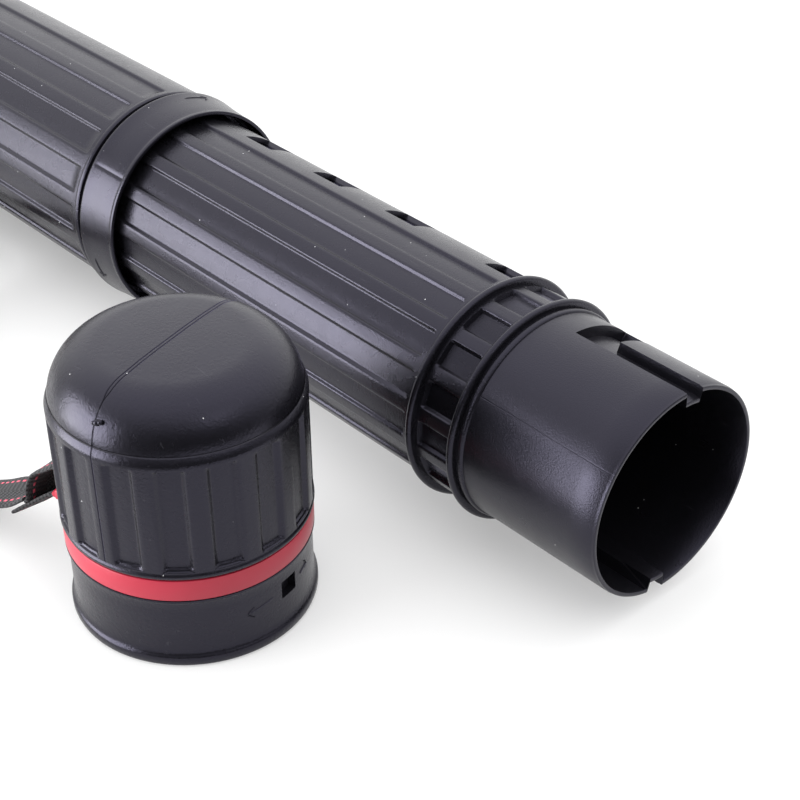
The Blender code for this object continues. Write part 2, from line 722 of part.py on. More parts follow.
def strap_run(name, route):
    """A flat band along a route: one loft of leaning rectangles."""
    line = list(smooth_line([Vector(point) for point in route], 3))
    shape = bmesh.new()
    rings = []
    for index, point in enumerate(line):
        before = line[max(index - 1, 0)]
        after = line[min(index + 1, len(line) - 1)]
        along = (after - before).to_3d().normalized()
        level = Vector((0, 0, 1)).cross(along).normalized()
        lean = math.radians(point[3])
        wide = level * math.cos(lean) + along.cross(level) * math.sin(lean)
        thick = along.cross(wide).normalized()
        ring = []
        for a, b in ((-1, -1), (1, -1), (1, 1), (-1, 1)):
            offset = wide * (a * STRAP_WIDTH / 2) + thick * (b * STRAP_THICK / 2)
            ring.append(shape.verts.new(point.to_3d() + offset))
        rings.append(ring)
    for first, second in zip(rings, rings[1:]):
        for k in range(4):
            shape.faces.new((first[k], first[(k + 1) % 4], second[(k + 1) % 4], second[k]))
    shape.faces.new(rings[0])
    shape.faces.new(list(reversed(rings[-1])))
    bmesh.ops.recalc_face_normals(shape, faces=shape.faces)
    bmesh.ops.triangulate(shape, faces=shape.faces)
    mesh = bpy.data.meshes.new(name)
    shape.to_mesh(mesh)
    shape.free()
    make_object(name, mesh, None, webbing)


def eye_exit(place, outward, up, lean):
    """Where the webbing leaves its sewn end, and a point further on, with its lean there."""
    level = place - up * (BAIL_THICK / 2)
    gaps = (3 * CLEAR, EYE_LENGTH / 2)
    return [(*(level + outward * (eye_tail + gap)), lean) for gap in gaps]


def slider_exit(side):
    """Where the webbing leaves the slider on one side, and a point further on."""
    steps = (SLIDER_LENGTH / 2 + 3 * CLEAR, SLIDER_LENGTH)
    return [(*(SLIDER_AT + SLIDER_ALONG * (side * step)), 90.0) for step in steps]


strap_run("strap_run_cap", [*eye_exit(*cap_bail, 0.0), *CAP_RUN, *reversed(slider_exit(-1))])
strap_run("strap_run_base", [*slider_exit(1), *BASE_RUN, *reversed(eye_exit(*base_bail, 70.0))])

# The slider that sets the strap's length: a frame with a bar across its middle.
slider_height = STRAP_WIDTH + 2 * SLIDER_MARGIN


def box_loop(x_low, x_high, y_half):
    return [(x_low, -y_half), (x_high, -y_half), (x_high, y_half), (x_low, y_half)]


slot_half = STRAP_WIDTH / 2 + SLIDER_MARGIN / 4
slider_slot = (SLIDER_LENGTH - 3 * SLIDER_MARGIN) / 2
slider_loops = [box_loop(-SLIDER_LENGTH / 2, SLIDER_LENGTH / 2, slider_height / 2)]
for side in (-1, 1):
    near = side * SLIDER_MARGIN / 2
    far = near + side * slider_slot
    slider_loops.append(box_loop(min(near, far), max(near, far), slot_half))
slider_up = Vector((0, 0, 1))
slider_basis = Matrix((SLIDER_ALONG, slider_up, SLIDER_ALONG.cross(slider_up))).transposed().to_4x4()
slider_basis.translation = SLIDER_AT
flat_piece("strap_slider", slider_loops, SLIDER_THICK, slider_basis, black_plastic)
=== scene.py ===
"""The looks of a telescopic tube for rolled drawings, drawn out on a table with its cap beside it.

Lengths are in metres and angles in degrees. Along the tube, s runs from the front of the lock
collar towards the mouth. Round the tube, angles go from +Y over the top towards the front.
"""

import math

import bmesh
import bpy
from mathutils import Matrix, Vector


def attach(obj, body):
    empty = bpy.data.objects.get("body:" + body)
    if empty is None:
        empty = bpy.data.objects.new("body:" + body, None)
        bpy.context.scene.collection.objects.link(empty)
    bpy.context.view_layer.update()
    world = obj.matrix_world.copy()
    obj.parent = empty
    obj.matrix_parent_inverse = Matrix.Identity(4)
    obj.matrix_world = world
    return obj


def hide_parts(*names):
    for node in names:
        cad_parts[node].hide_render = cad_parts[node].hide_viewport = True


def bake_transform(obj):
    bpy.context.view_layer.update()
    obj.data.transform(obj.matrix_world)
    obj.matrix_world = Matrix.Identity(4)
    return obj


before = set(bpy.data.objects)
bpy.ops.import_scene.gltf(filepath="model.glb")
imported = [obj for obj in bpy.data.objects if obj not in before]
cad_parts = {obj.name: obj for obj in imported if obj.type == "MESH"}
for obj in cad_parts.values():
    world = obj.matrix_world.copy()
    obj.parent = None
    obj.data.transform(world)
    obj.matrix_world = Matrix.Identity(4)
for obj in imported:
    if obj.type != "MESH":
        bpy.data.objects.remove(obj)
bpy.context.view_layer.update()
scene = bpy.context.scene
scene.view_settings.view_transform = "Standard"

# The camera looks down on the mouth of the tube from its right, as the photograph does.
# A long lens, a little off centre, keeps the tube's sides nearly parallel.
CAMERA_AT = (0.716025, -0.354834, 0.448533)
CAMERA_AZIMUTH = math.radians(137.023)
CAMERA_DOWN = math.radians(36.683)
camera_data = bpy.data.cameras.new("camera")
camera_data.lens = 80.909
camera_data.sensor_width = 36.0
camera_data.shift_x = -0.0338
camera_data.shift_y = 0.0706
camera_data.clip_start = 0.01
camera = bpy.data.objects.new("camera", camera_data)
looking = Vector(
    (
        math.cos(CAMERA_AZIMUTH) * math.cos(CAMERA_DOWN),
        math.sin(CAMERA_AZIMUTH) * math.cos(CAMERA_DOWN),
        -math.sin(CAMERA_DOWN),
    )
)
camera.location = CAMERA_AT
camera.rotation_euler = looking.to_track_quat("-Z", "Y").to_euler()
scene.collection.objects.link(camera)
scene.camera = camera

# The shoulder strap is narrow black webbing with two rows of red stitches. It leaves its sewn
# end at the cap, sinks to the table, turns on edge, and runs through the slider to the closed end.
STRAP_WIDTH = 0.0200
STRAP_THICK = 0.0016
CAP_AXIS = Vector((0.274520, -0.063715, 0.0))
TUBE_AXIS = Vector((0.118650, 0.060615, 0.0495))
RISE = Vector((0, 0, 1))
CAP_BAIL_TURN = math.radians(-158)
cap_bail_level = Vector((math.cos(CAP_BAIL_TURN), math.sin(CAP_BAIL_TURN), 0))
cap_bail_at = CAP_AXIS + cap_bail_level * 0.0503 + RISE * 0.0355
EYE_DROOP = math.radians(38)
cap_eye_out = cap_bail_level * math.cos(EYE_DROOP) - RISE * math.sin(EYE_DROOP)
cap_eye_up = RISE * math.cos(EYE_DROOP) + cap_bail_level * math.sin(EYE_DROOP)
BASE_BAIL_TURN = math.radians(200)
base_eye_out = Vector((0, math.cos(BASE_BAIL_TURN), math.sin(BASE_BAIL_TURN)))
base_eye_up = Vector((1, 0, 0))
base_bail_at = TUBE_AXIS + base_eye_out * 0.0514 - base_eye_up * 0.4937
EYE_JOIN = 0.0235
EYE_ROLL = 17.0
LEAVING = math.radians(17)
cap_join = cap_bail_at + cap_eye_out * EYE_JOIN
cap_leaving = cap_bail_level * math.cos(LEAVING) - RISE * math.sin(LEAVING)
base_join = base_bail_at + base_eye_out * EYE_JOIN
SLIDER_AT = Vector((-0.1200, -0.0600, 0.0142))
SLIDER_ALONG = Vector((-0.4472, -0.8944, 0.0))


def slider_points(steps):
    return [(*(SLIDER_AT + SLIDER_ALONG * step), 90.0) for step in steps]


strap_route = [
    (*cap_join, EYE_ROLL),
    (*(cap_join + cap_leaving * 0.0100), -3.0),
    (0.1885, -0.0978, 0.0125, 0.0),
    (0.1690, -0.1020, 0.0048, 0.0),
    (0.1450, -0.1070, 0.0030, 8.0),
    (0.1200, -0.1100, 0.0068, 35.0),
    (0.0960, -0.1070, 0.0100, 72.0),
    (0.0730, -0.0920, 0.0110, 90.0),
    (0.0510, -0.0600, 0.0120, 90.0),
    (0.0370, -0.0220, 0.0145, 90.0),
    (0.0180, 0.0060, 0.0165, 90.0),
    (-0.0150, 0.0120, 0.0150, 90.0),
    (-0.0550, 0.0080, 0.0120, 90.0),
    (-0.0920, -0.0120, 0.0125, 90.0),
    *slider_points((-0.0200, -0.0109, 0.0, 0.0109, 0.0200)),
    (-0.1450, -0.0970, 0.0125, 90.0),
    (-0.1800, -0.1110, 0.0122, 90.0),
    (-0.2160, -0.1000, 0.0122, 90.0),
    (-0.2400, -0.0750, 0.0122, 90.0),
    (-0.2680, -0.0620, 0.0122, 90.0),
    (-0.3000, -0.0740, 0.0122, 90.0),
    (-0.3350, -0.0760, 0.0126, 88.0),
    (-0.3620, -0.0550, 0.0140, 86.0),
    (*(base_join + base_eye_out * 0.0080), 90.0),
    (*base_join, 90.0),
]


def smooth_line(points, count):
    """A smooth line through given points, with count steps between each two."""
    ends = [2 * points[0] - points[1], *points, 2 * points[-1] - points[-2]]
    for before, start, end, after in zip(ends, ends[1:], ends[2:], ends[3:]):
        for step in range(count):
            t = step / count
            yield 0.5 * (
                2 * start
                + (end - before) * t
                + (2 * before - 5 * start + 4 * end - after) * t**2
                + (3 * start - 3 * end + after - before) * t**3
            )
    yield points[-1]


def finish_mesh(shape, name, material, sharp=38.0):
    """Shade a mesh smooth, keep its sharp edges sharp, and make it an object at the origin."""
    for face in shape.faces:
        face.smooth = True
    for edge in shape.edges:
        edge.smooth = edge.calc_face_angle(0.0) < math.radians(sharp)
    mesh = bpy.data.meshes.new(name)
    shape.to_mesh(mesh)
    shape.free()
    mesh.materials.append(material)
    made = bpy.data.objects.new(name, mesh)
    scene.collection.objects.link(made)
    return made


def band_section():
    """Half the outline of the webbing's section: across and thick, as shares of its half sizes."""
    flat = [(step / 5 - 1, 1.0) for step in range(1, 10)]
    return [(-1.0, 0.0), (-0.96, 0.75), *flat, (0.96, 0.75), (1.0, 0.0)]


def lay_band(name, stations, material):
    """Extrude the webbing's section through stations of (place, wide, thick, length so far)."""
    upper = band_section()
    section = upper + [(across, -thick) for across, thick in reversed(upper[1:-1])]
    shape = bmesh.new()
    along_layer = shape.verts.layers.float.new("along")
    across_layer = shape.verts.layers.float.new("across")
    first = [shape.verts.new() for _ in section]
    loop = [shape.edges.new((a, b)) for a, b in zip(first, first[1:] + first[:1])]
    bmesh.ops.edgeloop_fill(shape, edges=loop)
    ring = first
    for index, (place, wide, thick, length) in enumerate(stations):
        if index:
            made = bmesh.ops.extrude_edge_only(shape, edges=loop)["geom"]
            loop = [item for item in made if isinstance(item, bmesh.types.BMEdge) and item.is_boundary]
            ring = ordered_ring(ring, made)
        for vert, (across, deep) in zip(ring, section):
            vert.co = place + wide * (across * STRAP_WIDTH / 2) + thick * (deep * STRAP_THICK / 2)
            vert[along_layer] = length
            vert[across_layer] = across * STRAP_WIDTH / 2
    bmesh.ops.edgeloop_fill(shape, edges=loop)
    bmesh.ops.recalc_face_normals(shape, faces=shape.faces)
    return finish_mesh(shape, name, material, sharp=60.0)


def ordered_ring(ring, made):
    """The new verts of an extruded ring, in the order of the ring they came from."""
    fresh = {item for item in made if isinstance(item, bmesh.types.BMVert)}
    return [next(edge.other_vert(vert) for edge in vert.link_edges if edge.other_vert(vert) in fresh) for vert in ring]


def webbing_stations(line):
    """The place, wide and thick directions and length so far for each point of a leaning line."""
    stations = []
    length = 0.0
    for index, point in enumerate(line):
        before = line[max(index - 1, 0)]
        after = line[min(index + 1, len(line) - 1)]
        along = (after - before).to_3d().normalized()
        level = Vector((0, 0, 1)).cross(along).normalized()
        lean = math.radians(point[3])
        wide = level * math.cos(lean) + along.cross(level) * math.sin(lean)
        thick = along.cross(wide).normalized()
        if index:
            length += (point - before).to_3d().length
        stations.append((point.to_3d(), wide, thick, length))
    return stations


def new_group(name, inputs, outputs):
    """An empty shader node group with named sockets."""
    group = bpy.data.node_groups.new(name, "ShaderNodeTree")
    for label, kind, value in inputs:
        socket = group.interface.new_socket(label, in_out="INPUT", socket_type=kind)
        socket.default_value = value
    for label, kind in outputs:
        group.interface.new_socket(label, in_out="OUTPUT", socket_type=kind)
    return group, group.nodes.new("NodeGroupInput"), group.nodes.new("NodeGroupOutput")


def add(tree, kind, settings=None, **inputs):
    """Add a node, set its settings, and fill its inputs with values or with other nodes' sockets."""
    node = tree.nodes.new(kind)
    for key, value in (settings or {}).items():
        setattr(node, key, value)
    for key, value in inputs.items():
        label = int(key[1:]) if key[0] == "i" and key[1:].isdigit() else key.replace("_", " ")
        socket = node.inputs[label]
        if isinstance(value, bpy.types.NodeSocket):
            tree.links.new(value, socket)
        else:
            socket.default_value = value
    return node


def sum_of(tree, operation, first, second=0.0, third=0.0, clamp=False):
    """One step of arithmetic between sockets or values."""
    node = tree.nodes.new("ShaderNodeMath")
    node.operation = operation
    node.use_clamp = clamp
    for socket, value in zip(node.inputs, (first, second, third)):
        if isinstance(value, bpy.types.NodeSocket):
            tree.links.new(value, socket)
        else:
            socket.default_value = value
    return node.outputs[0]


def tint(tree, mask, low, high):
    """Go from one colour to another by a mask. Each colour may be a socket."""
    node = tree.nodes.new("ShaderNodeMix")
    node.data_type = "RGBA"
    for socket, value in ((node.inputs[0], mask), (node.inputs[6], low), (node.inputs[7], high)):
        if isinstance(value, bpy.types.NodeSocket):
            tree.links.new(value, socket)
        else:
            socket.default_value = value
    return node.outputs[2]


def steps_between(tree, value, low, high, start=0.0, end=1.0):
    """A smooth ramp of a value from low to high."""
    node = add(tree, "ShaderNodeMapRange", {"interpolation_type": "SMOOTHSTEP"}, Value=value)
    node.inputs["From Min"].default_value = low
    node.inputs["From Max"].default_value = high
    node.inputs["To Min"].default_value = start
    node.inputs["To Max"].default_value = end
    return node.outputs[0]


def make_material(name, roughness):
    """A new material, with its tree and its shader."""
    material = bpy.data.materials.new(name)
    material.use_nodes = True
    tree = material.node_tree
    shader = tree.nodes["Principled BSDF"]
    shader.inputs["Roughness"].default_value = roughness
    return material, tree, shader


# Twill of the webbing: threads cross on the diagonal, with two rows of red stitches
# set in from its sides.
THREAD_PITCH = 0.00220
STITCH_PITCH = 0.0034
STITCH_SHARE = 0.64
STITCH_ROW = 0.0064
STITCH_HALF = 0.00080
webbing_weave, weave_in, weave_out = new_group(
    "webbing_weave",
    [("Along", "NodeSocketFloat", 0.0), ("Across", "NodeSocketFloat", 0.0)],
    [("Height", "NodeSocketFloat"), ("Threads", "NodeSocketFloat"), ("Stitches", "NodeSocketFloat")],
)
along_socket = weave_in.outputs["Along"]
across_socket = weave_in.outputs["Across"]
from_middle = sum_of(webbing_weave, "ABSOLUTE", across_socket)
slant = sum_of(webbing_weave, "MULTIPLY_ADD", from_middle, 0.8, along_socket)
warp = sum_of(webbing_weave, "SINE", sum_of(webbing_weave, "MULTIPLY", across_socket, 2 * math.pi / 0.00200))
weft = sum_of(webbing_weave, "SINE", sum_of(webbing_weave, "MULTIPLY", slant, 2 * math.pi / THREAD_PITCH))
weave_waves = sum_of(webbing_weave, "MULTIPLY", warp, weft)
twill = sum_of(webbing_weave, "MULTIPLY_ADD", weave_waves, 0.5, 0.5)
stitch_run = sum_of(webbing_weave, "FRACT", sum_of(webbing_weave, "DIVIDE", along_socket, STITCH_PITCH))
stitch_end = sum_of(webbing_weave, "ABSOLUTE", sum_of(webbing_weave, "SUBTRACT", stitch_run, 0.5))
in_stitch = steps_between(webbing_weave, stitch_end, STITCH_SHARE / 2, STITCH_SHARE / 2 - 0.12)
row_offset = sum_of(webbing_weave, "ABSOLUTE", sum_of(webbing_weave, "SUBTRACT", from_middle, STITCH_ROW))
in_row = steps_between(webbing_weave, row_offset, STITCH_HALF, STITCH_HALF * 0.45)
stitches = sum_of(webbing_weave, "MULTIPLY", in_stitch, in_row)
weave_height = sum_of(webbing_weave, "MAXIMUM", twill, sum_of(webbing_weave, "MULTIPLY", stitches, 1.4))
webbing_weave.links.new(weave_height, weave_out.inputs["Height"])
webbing_weave.links.new(twill, weave_out.inputs["Threads"])
webbing_weave.links.new(stitches, weave_out.inputs["Stitches"])

webbing, tree, shader = make_material("black_webbing", 0.8)
shader.inputs["Sheen Weight"].default_value = 0.06
strap_along = add(tree, "ShaderNodeAttribute", {"attribute_name": "along"}).outputs["Fac"]
strap_across = add(tree, "ShaderNodeAttribute", {"attribute_name": "across"}).outputs["Fac"]
weave = add(tree, "ShaderNodeGroup", {"node_tree": webbing_weave}, Along=strap_along, Across=strap_across)
fibre_place = add(tree, "ShaderNodeTexCoord").outputs["Object"]
fibre = add(tree, "ShaderNodeTexNoise", Vector=fibre_place, Scale=2600.0, Detail=2.0).outputs["Fac"]
threads = sum_of(tree, "MULTIPLY", weave.outputs["Threads"], sum_of(tree, "MULTIPLY_ADD", fibre, 1.2, 0.2))
thread_colour = tint(tree, threads, (0.0015, 0.0015, 0.0020, 1), (0.058, 0.058, 0.066, 1))
stitch_colour = tint(tree, fibre, (0.60, 0.050, 0.10, 1), (0.92, 0.18, 0.26, 1))
webbing_colour = tint(tree, weave.outputs["Stitches"], thread_colour, stitch_colour)
tree.links.new(webbing_colour, shader.inputs["Base Color"])
weave_bump = add(tree, "ShaderNodeBump", Strength=0.9, Distance=0.0005, Height=weave.outputs["Height"])
tree.links.new(weave_bump.outputs["Normal"], shader.inputs["Normal"])

strap_line = list(smooth_line([Vector(point) for point in strap_route], 8))
strap_stations = webbing_stations(strap_line)
strap = lay_band("shoulder_strap", strap_stations, webbing)
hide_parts("strap_run_cap", "strap_run_base")
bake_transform(strap)

# The outer tube is blow-moulded black plastic with sunk panels between sixteen ribs, a bead and
# a groove behind the lock collar, and a closed end with a seat for the strap ring.
RIB_COUNT = 16
RIB_STEPS = 20
RIB_PITCH = 360.0 / RIB_COUNT
RIB_DEPTH = 0.0014
PANEL_STOPS = (0.0, 2.2, 4.2, 5.6, 6.2, 6.6, 7.0, 7.45, 7.9, 9.2, 11.25)
PANEL_SHARES = (1.0, 1.0, 1.0, 1.0, 0.96, 0.76, 0.40, 0.10, 0.0, 0.0, 0.0)
TUBE_RADIUS = 0.0475
TUBE_BORE = 0.0443
TUBE_BACK = -0.520
TUBE_PANEL_AT = 86.6
WIDE_LAND = RIB_COUNT - 1


def rib_place(index, first, stops=PANEL_STOPS, shares=PANEL_SHARES):
    """A spin step's panel, its angle once the steps gather at the panel walls, and its depth share."""
    panel = (index + RIB_STEPS // 2) // RIB_STEPS
    offset = index - panel * RIB_STEPS
    angle = first + panel * RIB_PITCH + math.copysign(stops[abs(offset)], offset)
    return panel % RIB_COUNT, angle, shares[abs(offset)]


def ramp(value, low, high):
    """A smooth ramp from 0 at low to 1 at high."""
    t = min(max((value - low) / (high - low), 0.0), 1.0)
    return t * t * (3 - 2 * t)


def between(value, low, high, edge):
    """1 between low and high, falling to 0 over an edge outside them."""
    return ramp(value, low - edge, low) * (1 - ramp(value, high, high + edge))


def with_stations(profile, heights):
    """Put extra points on a profile's long straight stretches, at the given heights."""
    points = [profile[0]]
    for (r0, h0), (r1, h1) in zip(profile, profile[1:]):
        inside = [h for h in heights if min(h0, h1) + 1e-5 < h < max(h0, h1) - 1e-5]
        for height in sorted(inside, reverse=h1 < h0):
            share = (height - h0) / (h1 - h0)
            points.append((r0 + (r1 - r0) * share, height))
        points.append((r1, h1))
    return points


def rounded(centre, radius, start, end, count):
    """Points of a rounded profile corner."""
    for step in range(count + 1):
        angle = math.radians(start + (end - start) * step / count)
        yield (centre[0] + radius * math.cos(angle), centre[1] + radius * math.sin(angle))


def spun(profile, press, place):
    """Spin a profile of (radius, height) points, and let press move each point in or out."""
    steps = RIB_COUNT * RIB_STEPS
    shape = bmesh.new()
    line = [shape.verts.new((radius, 0.0, height)) for radius, height in profile]
    for pair in zip(line, line[1:]):
        shape.edges.new(pair)
    if profile[0] == profile[-1]:
        bmesh.ops.remove_doubles(shape, verts=line, dist=1e-7)
    bmesh.ops.spin(
        shape,
        geom=shape.verts[:] + shape.edges[:],
        cent=(0, 0, 0),
        axis=(0, 0, 1),
        dvec=(0, 0, 0),
        angle=math.tau,
        steps=steps,
        use_merge=True,
        use_duplicate=False,
    )
    bmesh.ops.remove_doubles(shape, verts=shape.verts, dist=1e-7)
    for vert in shape.verts:
        radius = math.hypot(vert.co.x, vert.co.y)
        if radius < 1e-6:
            continue
        turn = math.degrees(math.atan2(vert.co.y, vert.co.x)) % 360.0
        index = round(turn / 360.0 * steps) % steps
        radius, angle = press(radius, vert.co.z, index)
        vert.co.x = radius * math.cos(math.radians(angle))
        vert.co.y = radius * math.sin(math.radians(angle))
    bmesh.ops.recalc_face_normals(shape, faces=shape.faces)
    bmesh.ops.transform(shape, matrix=place, verts=shape.verts)
    return shape


def raised_stroke(shape, place, wall, start, end, width):
    """A low raised bar on a round wall, from one point of (angle, height) to another."""
    made = bmesh.ops.create_grid(shape, x_segments=6, y_segments=3, size=1.0)["verts"]
    run = Vector((math.radians(end[0] - start[0]) * wall, end[1] - start[1]))
    side = Vector((-run.y, run.x)).normalized() * width / 2
    for vert in made:
        share = (vert.co.x + 1) / 2
        flat = run * share + side * vert.co.y
        on_top = abs(vert.co.y) < 0.5 and 0.01 < share < 0.99
        radius = wall + (0.00035 if on_top else -0.0002)
        angle = math.radians(start[0]) + flat.x / wall
        vert.co = (radius * math.cos(angle), radius * math.sin(angle), start[1] + flat.y)
    bmesh.ops.transform(shape, matrix=place, verts=made)


def raised_arrow(shape, place, wall, tail, tip, head):
    """A plain arrow of three raised bars. Its head is (degrees back from the tip, half height)."""
    back = math.copysign(head[0], tail[0] - tip[0])
    raised_stroke(shape, place, wall, tail, tip, 0.0009)
    for side in (-1, 1):
        raised_stroke(shape, place, wall, tip, (tip[0] + back, tip[1] + side * head[1]), 0.0009)


tube_place = Matrix(((0, 0, 1, 0), (1, 0, 0, 0), (0, 1, 0, 0), (0, 0, 0, 1)))
tube_place.translation = TUBE_AXIS
cap_place = Matrix.Translation(CAP_AXIS)

# The moulded skin that all the black pieces share: fine grain, faint flow marks, scuffs and dust.
moulded_skin, skin_in, skin_out = new_group(
    "moulded_skin",
    [("Grain", "NodeSocketFloat", 1.0), ("Scuffs", "NodeSocketFloat", 1.0), ("Dust", "NodeSocketFloat", 1.0)],
    [("Color", "NodeSocketColor"), ("Roughness", "NodeSocketFloat"), ("Height", "NodeSocketFloat")],
)
skin_place = add(moulded_skin, "ShaderNodeTexCoord").outputs["Object"]
grain = add(moulded_skin, "ShaderNodeTexNoise", Vector=skin_place, Scale=1650.0, Detail=3.0).outputs["Fac"]
flow = add(moulded_skin, "ShaderNodeTexNoise", Vector=skin_place, Scale=26.0, Detail=3.0).outputs["Fac"]
patches = add(moulded_skin, "ShaderNodeTexNoise", Vector=skin_place, Scale=90.0, Detail=4.0).outputs["Fac"]
scratch_place = add(moulded_skin, "ShaderNodeMapping", Vector=skin_place).outputs[0]
scratch_place.node.inputs["Rotation"].default_value = (0.5, 0.9, 0.4)
scratch_place.node.inputs["Scale"].default_value = (1.0, 12.0, 5.0)
scratch_noise = add(moulded_skin, "ShaderNodeTexNoise", Vector=scratch_place, Scale=60.0, Detail=2.0).outputs["Fac"]
scratch = steps_between(moulded_skin, scratch_noise, 0.70, 0.78)
scuff = sum_of(moulded_skin, "MULTIPLY", scratch, skin_in.outputs["Scuffs"])
speck_cells = add(moulded_skin, "ShaderNodeTexVoronoi", Vector=skin_place, Scale=170.0)
speck_dot = steps_between(moulded_skin, speck_cells.outputs["Distance"], 0.050, 0.028)
speck_pick = add(moulded_skin, "ShaderNodeSeparateColor", Color=speck_cells.outputs["Color"]).outputs[0]
speck_gate = steps_between(moulded_skin, speck_pick, 0.74, 0.84)
speck = sum_of(moulded_skin, "MULTIPLY", speck_dot, speck_gate)
dust = sum_of(moulded_skin, "MULTIPLY", speck, skin_in.outputs["Dust"], clamp=True)
skin_tone = tint(moulded_skin, flow, (0.0050, 0.0048, 0.0062, 1), (0.0072, 0.0069, 0.0088, 1))
scuff_share = sum_of(moulded_skin, "MULTIPLY", scuff, 0.25)
skin_scuffed = tint(moulded_skin, scuff_share, skin_tone, (0.060, 0.060, 0.066, 1))
skin_colour = tint(moulded_skin, dust, skin_scuffed, (0.70, 0.70, 0.71, 1))
skin_rough = sum_of(moulded_skin, "MULTIPLY_ADD", patches, 0.14, 0.20)
skin_rough = sum_of(moulded_skin, "MULTIPLY_ADD", scuff, 0.10, skin_rough)
skin_rough = sum_of(moulded_skin, "MULTIPLY_ADD", dust, 0.4, skin_rough)
grain_height = sum_of(moulded_skin, "MULTIPLY", grain, skin_in.outputs["Grain"])
skin_height = sum_of(moulded_skin, "MULTIPLY_ADD", scratch, -0.2, grain_height)
moulded_skin.links.new(skin_colour, skin_out.inputs["Color"])
moulded_skin.links.new(skin_rough, skin_out.inputs["Roughness"])
moulded_skin.links.new(skin_height, skin_out.inputs["Height"])


def black_moulding(name, grain_amount, scuff_amount, dust_amount):
    """A black plastic with the shared skin, and the socket that its height comes from."""
    material, tree, shader = make_material(name, 0.36)
    shader.inputs["Specular Tint"].default_value = (0.75, 0.72, 1.0, 1)
    shader.inputs["Specular IOR Level"].default_value = 0.40
    skin = add(tree, "ShaderNodeGroup", {"node_tree": moulded_skin})
    skin.inputs["Grain"].default_value = grain_amount
    skin.inputs["Scuffs"].default_value = scuff_amount
    skin.inputs["Dust"].default_value = dust_amount
    tree.links.new(skin.outputs["Color"], shader.inputs["Base Color"])
    tree.links.new(skin.outputs["Roughness"], shader.inputs["Roughness"])
    bump = add(tree, "ShaderNodeBump", Strength=0.35, Distance=0.00008, Height=skin.outputs["Height"])
    tree.links.new(bump.outputs["Normal"], shader.inputs["Normal"])
    return material, tree, shader, skin, bump


tube_black = black_moulding("tube_black", 3.4, 1.0, 1.0)[0]

TUBE_RIBS_FRONT = -0.0306
TUBE_RIBS_BACK = -0.470
SEAT_FRONT = -0.4889
SEAT_BACK = -0.4985
SEAT_RADIUS = 0.0456
BASE_ROUND = 0.0080
tube_outside = [
    (TUBE_BORE, -0.0160),
    (0.0459, -0.0160),
    (0.0459, -0.0250),
    (0.0471, -0.0254),
    (0.0479, -0.0257),
    (0.0483, -0.0264),
    (0.0483, -0.0276),
    (0.0480, -0.0283),
    (0.0475, -0.0287),
    (TUBE_RADIUS, SEAT_FRONT),
    (SEAT_RADIUS, SEAT_FRONT),
    (SEAT_RADIUS, SEAT_BACK),
    (TUBE_RADIUS, SEAT_BACK),
    *rounded((TUBE_RADIUS - BASE_ROUND, TUBE_BACK + BASE_ROUND), BASE_ROUND, 0, -90, 8),
    (0.0315, TUBE_BACK),
    (0.0305, TUBE_BACK + 0.0005),
    (0.0300, TUBE_BACK + 0.0015),
    (0.0293, TUBE_BACK + 0.0020),
    (0.0100, TUBE_BACK + 0.0020),
    (0.0, TUBE_BACK + 0.0020),
]
tube_inside = [
    (0.0, TUBE_BACK + 0.0045),
    (0.0300, TUBE_BACK + 0.0045),
    (TUBE_BORE, TUBE_BACK + 0.0100),
    (TUBE_BORE, -0.0160),
]
panel_ends = []
for end, inward in ((TUBE_RIBS_FRONT, -1), (TUBE_RIBS_BACK, 1)):
    panel_ends += [end + inward * step for step in (-0.0020, -0.0002, 0.0003, 0.0009, 0.0015, 0.0020, 0.0060)]


def press_tube(radius, height, index):
    panel, angle, share = rib_place(index, TUBE_PANEL_AT)
    sunk = ramp(height, TUBE_RIBS_FRONT, TUBE_RIBS_FRONT - 0.0020)
    sunk *= ramp(height, TUBE_RIBS_BACK, TUBE_RIBS_BACK + 0.0020)
    if panel != WIDE_LAND and radius > TUBE_BORE + 0.0020:
        radius -= RIB_DEPTH * share * sunk
    return radius, angle


tube_profile = with_stations(tube_outside, panel_ends + [-0.15, -0.25, -0.35]) + tube_inside
outer_tube = finish_mesh(spun(tube_profile, press_tube, tube_place), "tube_body", tube_black)
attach(outer_tube, "tube")
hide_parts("outer_tube")

# The lock collar turns on the tube's spigot. It is moulded black plastic, a little wider at the
# back, with a parting line, lips at both ends, and turn arrows.
COLLAR_PARTING = 141.0
collar_black = black_moulding("collar_black", 2.5, 0.7, 0.6)[0]
collar_profile = [
    (0.0462, -0.0006),
    (0.0465, -0.0001),
    (0.0470, 0.0),
    (0.0475, -0.0001),
    (0.0479, -0.0004),
    (0.0480, -0.0009),
    (0.0480, -0.0016),
    (0.0478, -0.0021),
    (0.0478, -0.0026),
    (0.0480, -0.0040),
    (0.0483, -0.0080),
    (0.0487, -0.0140),
    (0.0491, -0.0190),
    (0.0494, -0.0205),
    (0.0495, -0.0212),
    (0.0495, -0.0218),
    (0.0492, -0.0222),
    (0.0488, -0.0224),
    (0.0463, -0.0224),
    (0.0462, -0.0220),
    (0.0462, -0.0006),
]


def press_collar(radius, height, index):
    angle = COLLAR_PARTING + index * 360.0 / (RIB_COUNT * RIB_STEPS)
    nearest = min(index % 160, 160 - index % 160)
    if radius > 0.0470 and nearest == 0 and -0.0200 < height < -0.0020:
        radius -= 0.00018
    if nearest == 1:
        side = 1 if index % 160 == 1 else -1
        angle -= side * 0.75
    return radius, angle


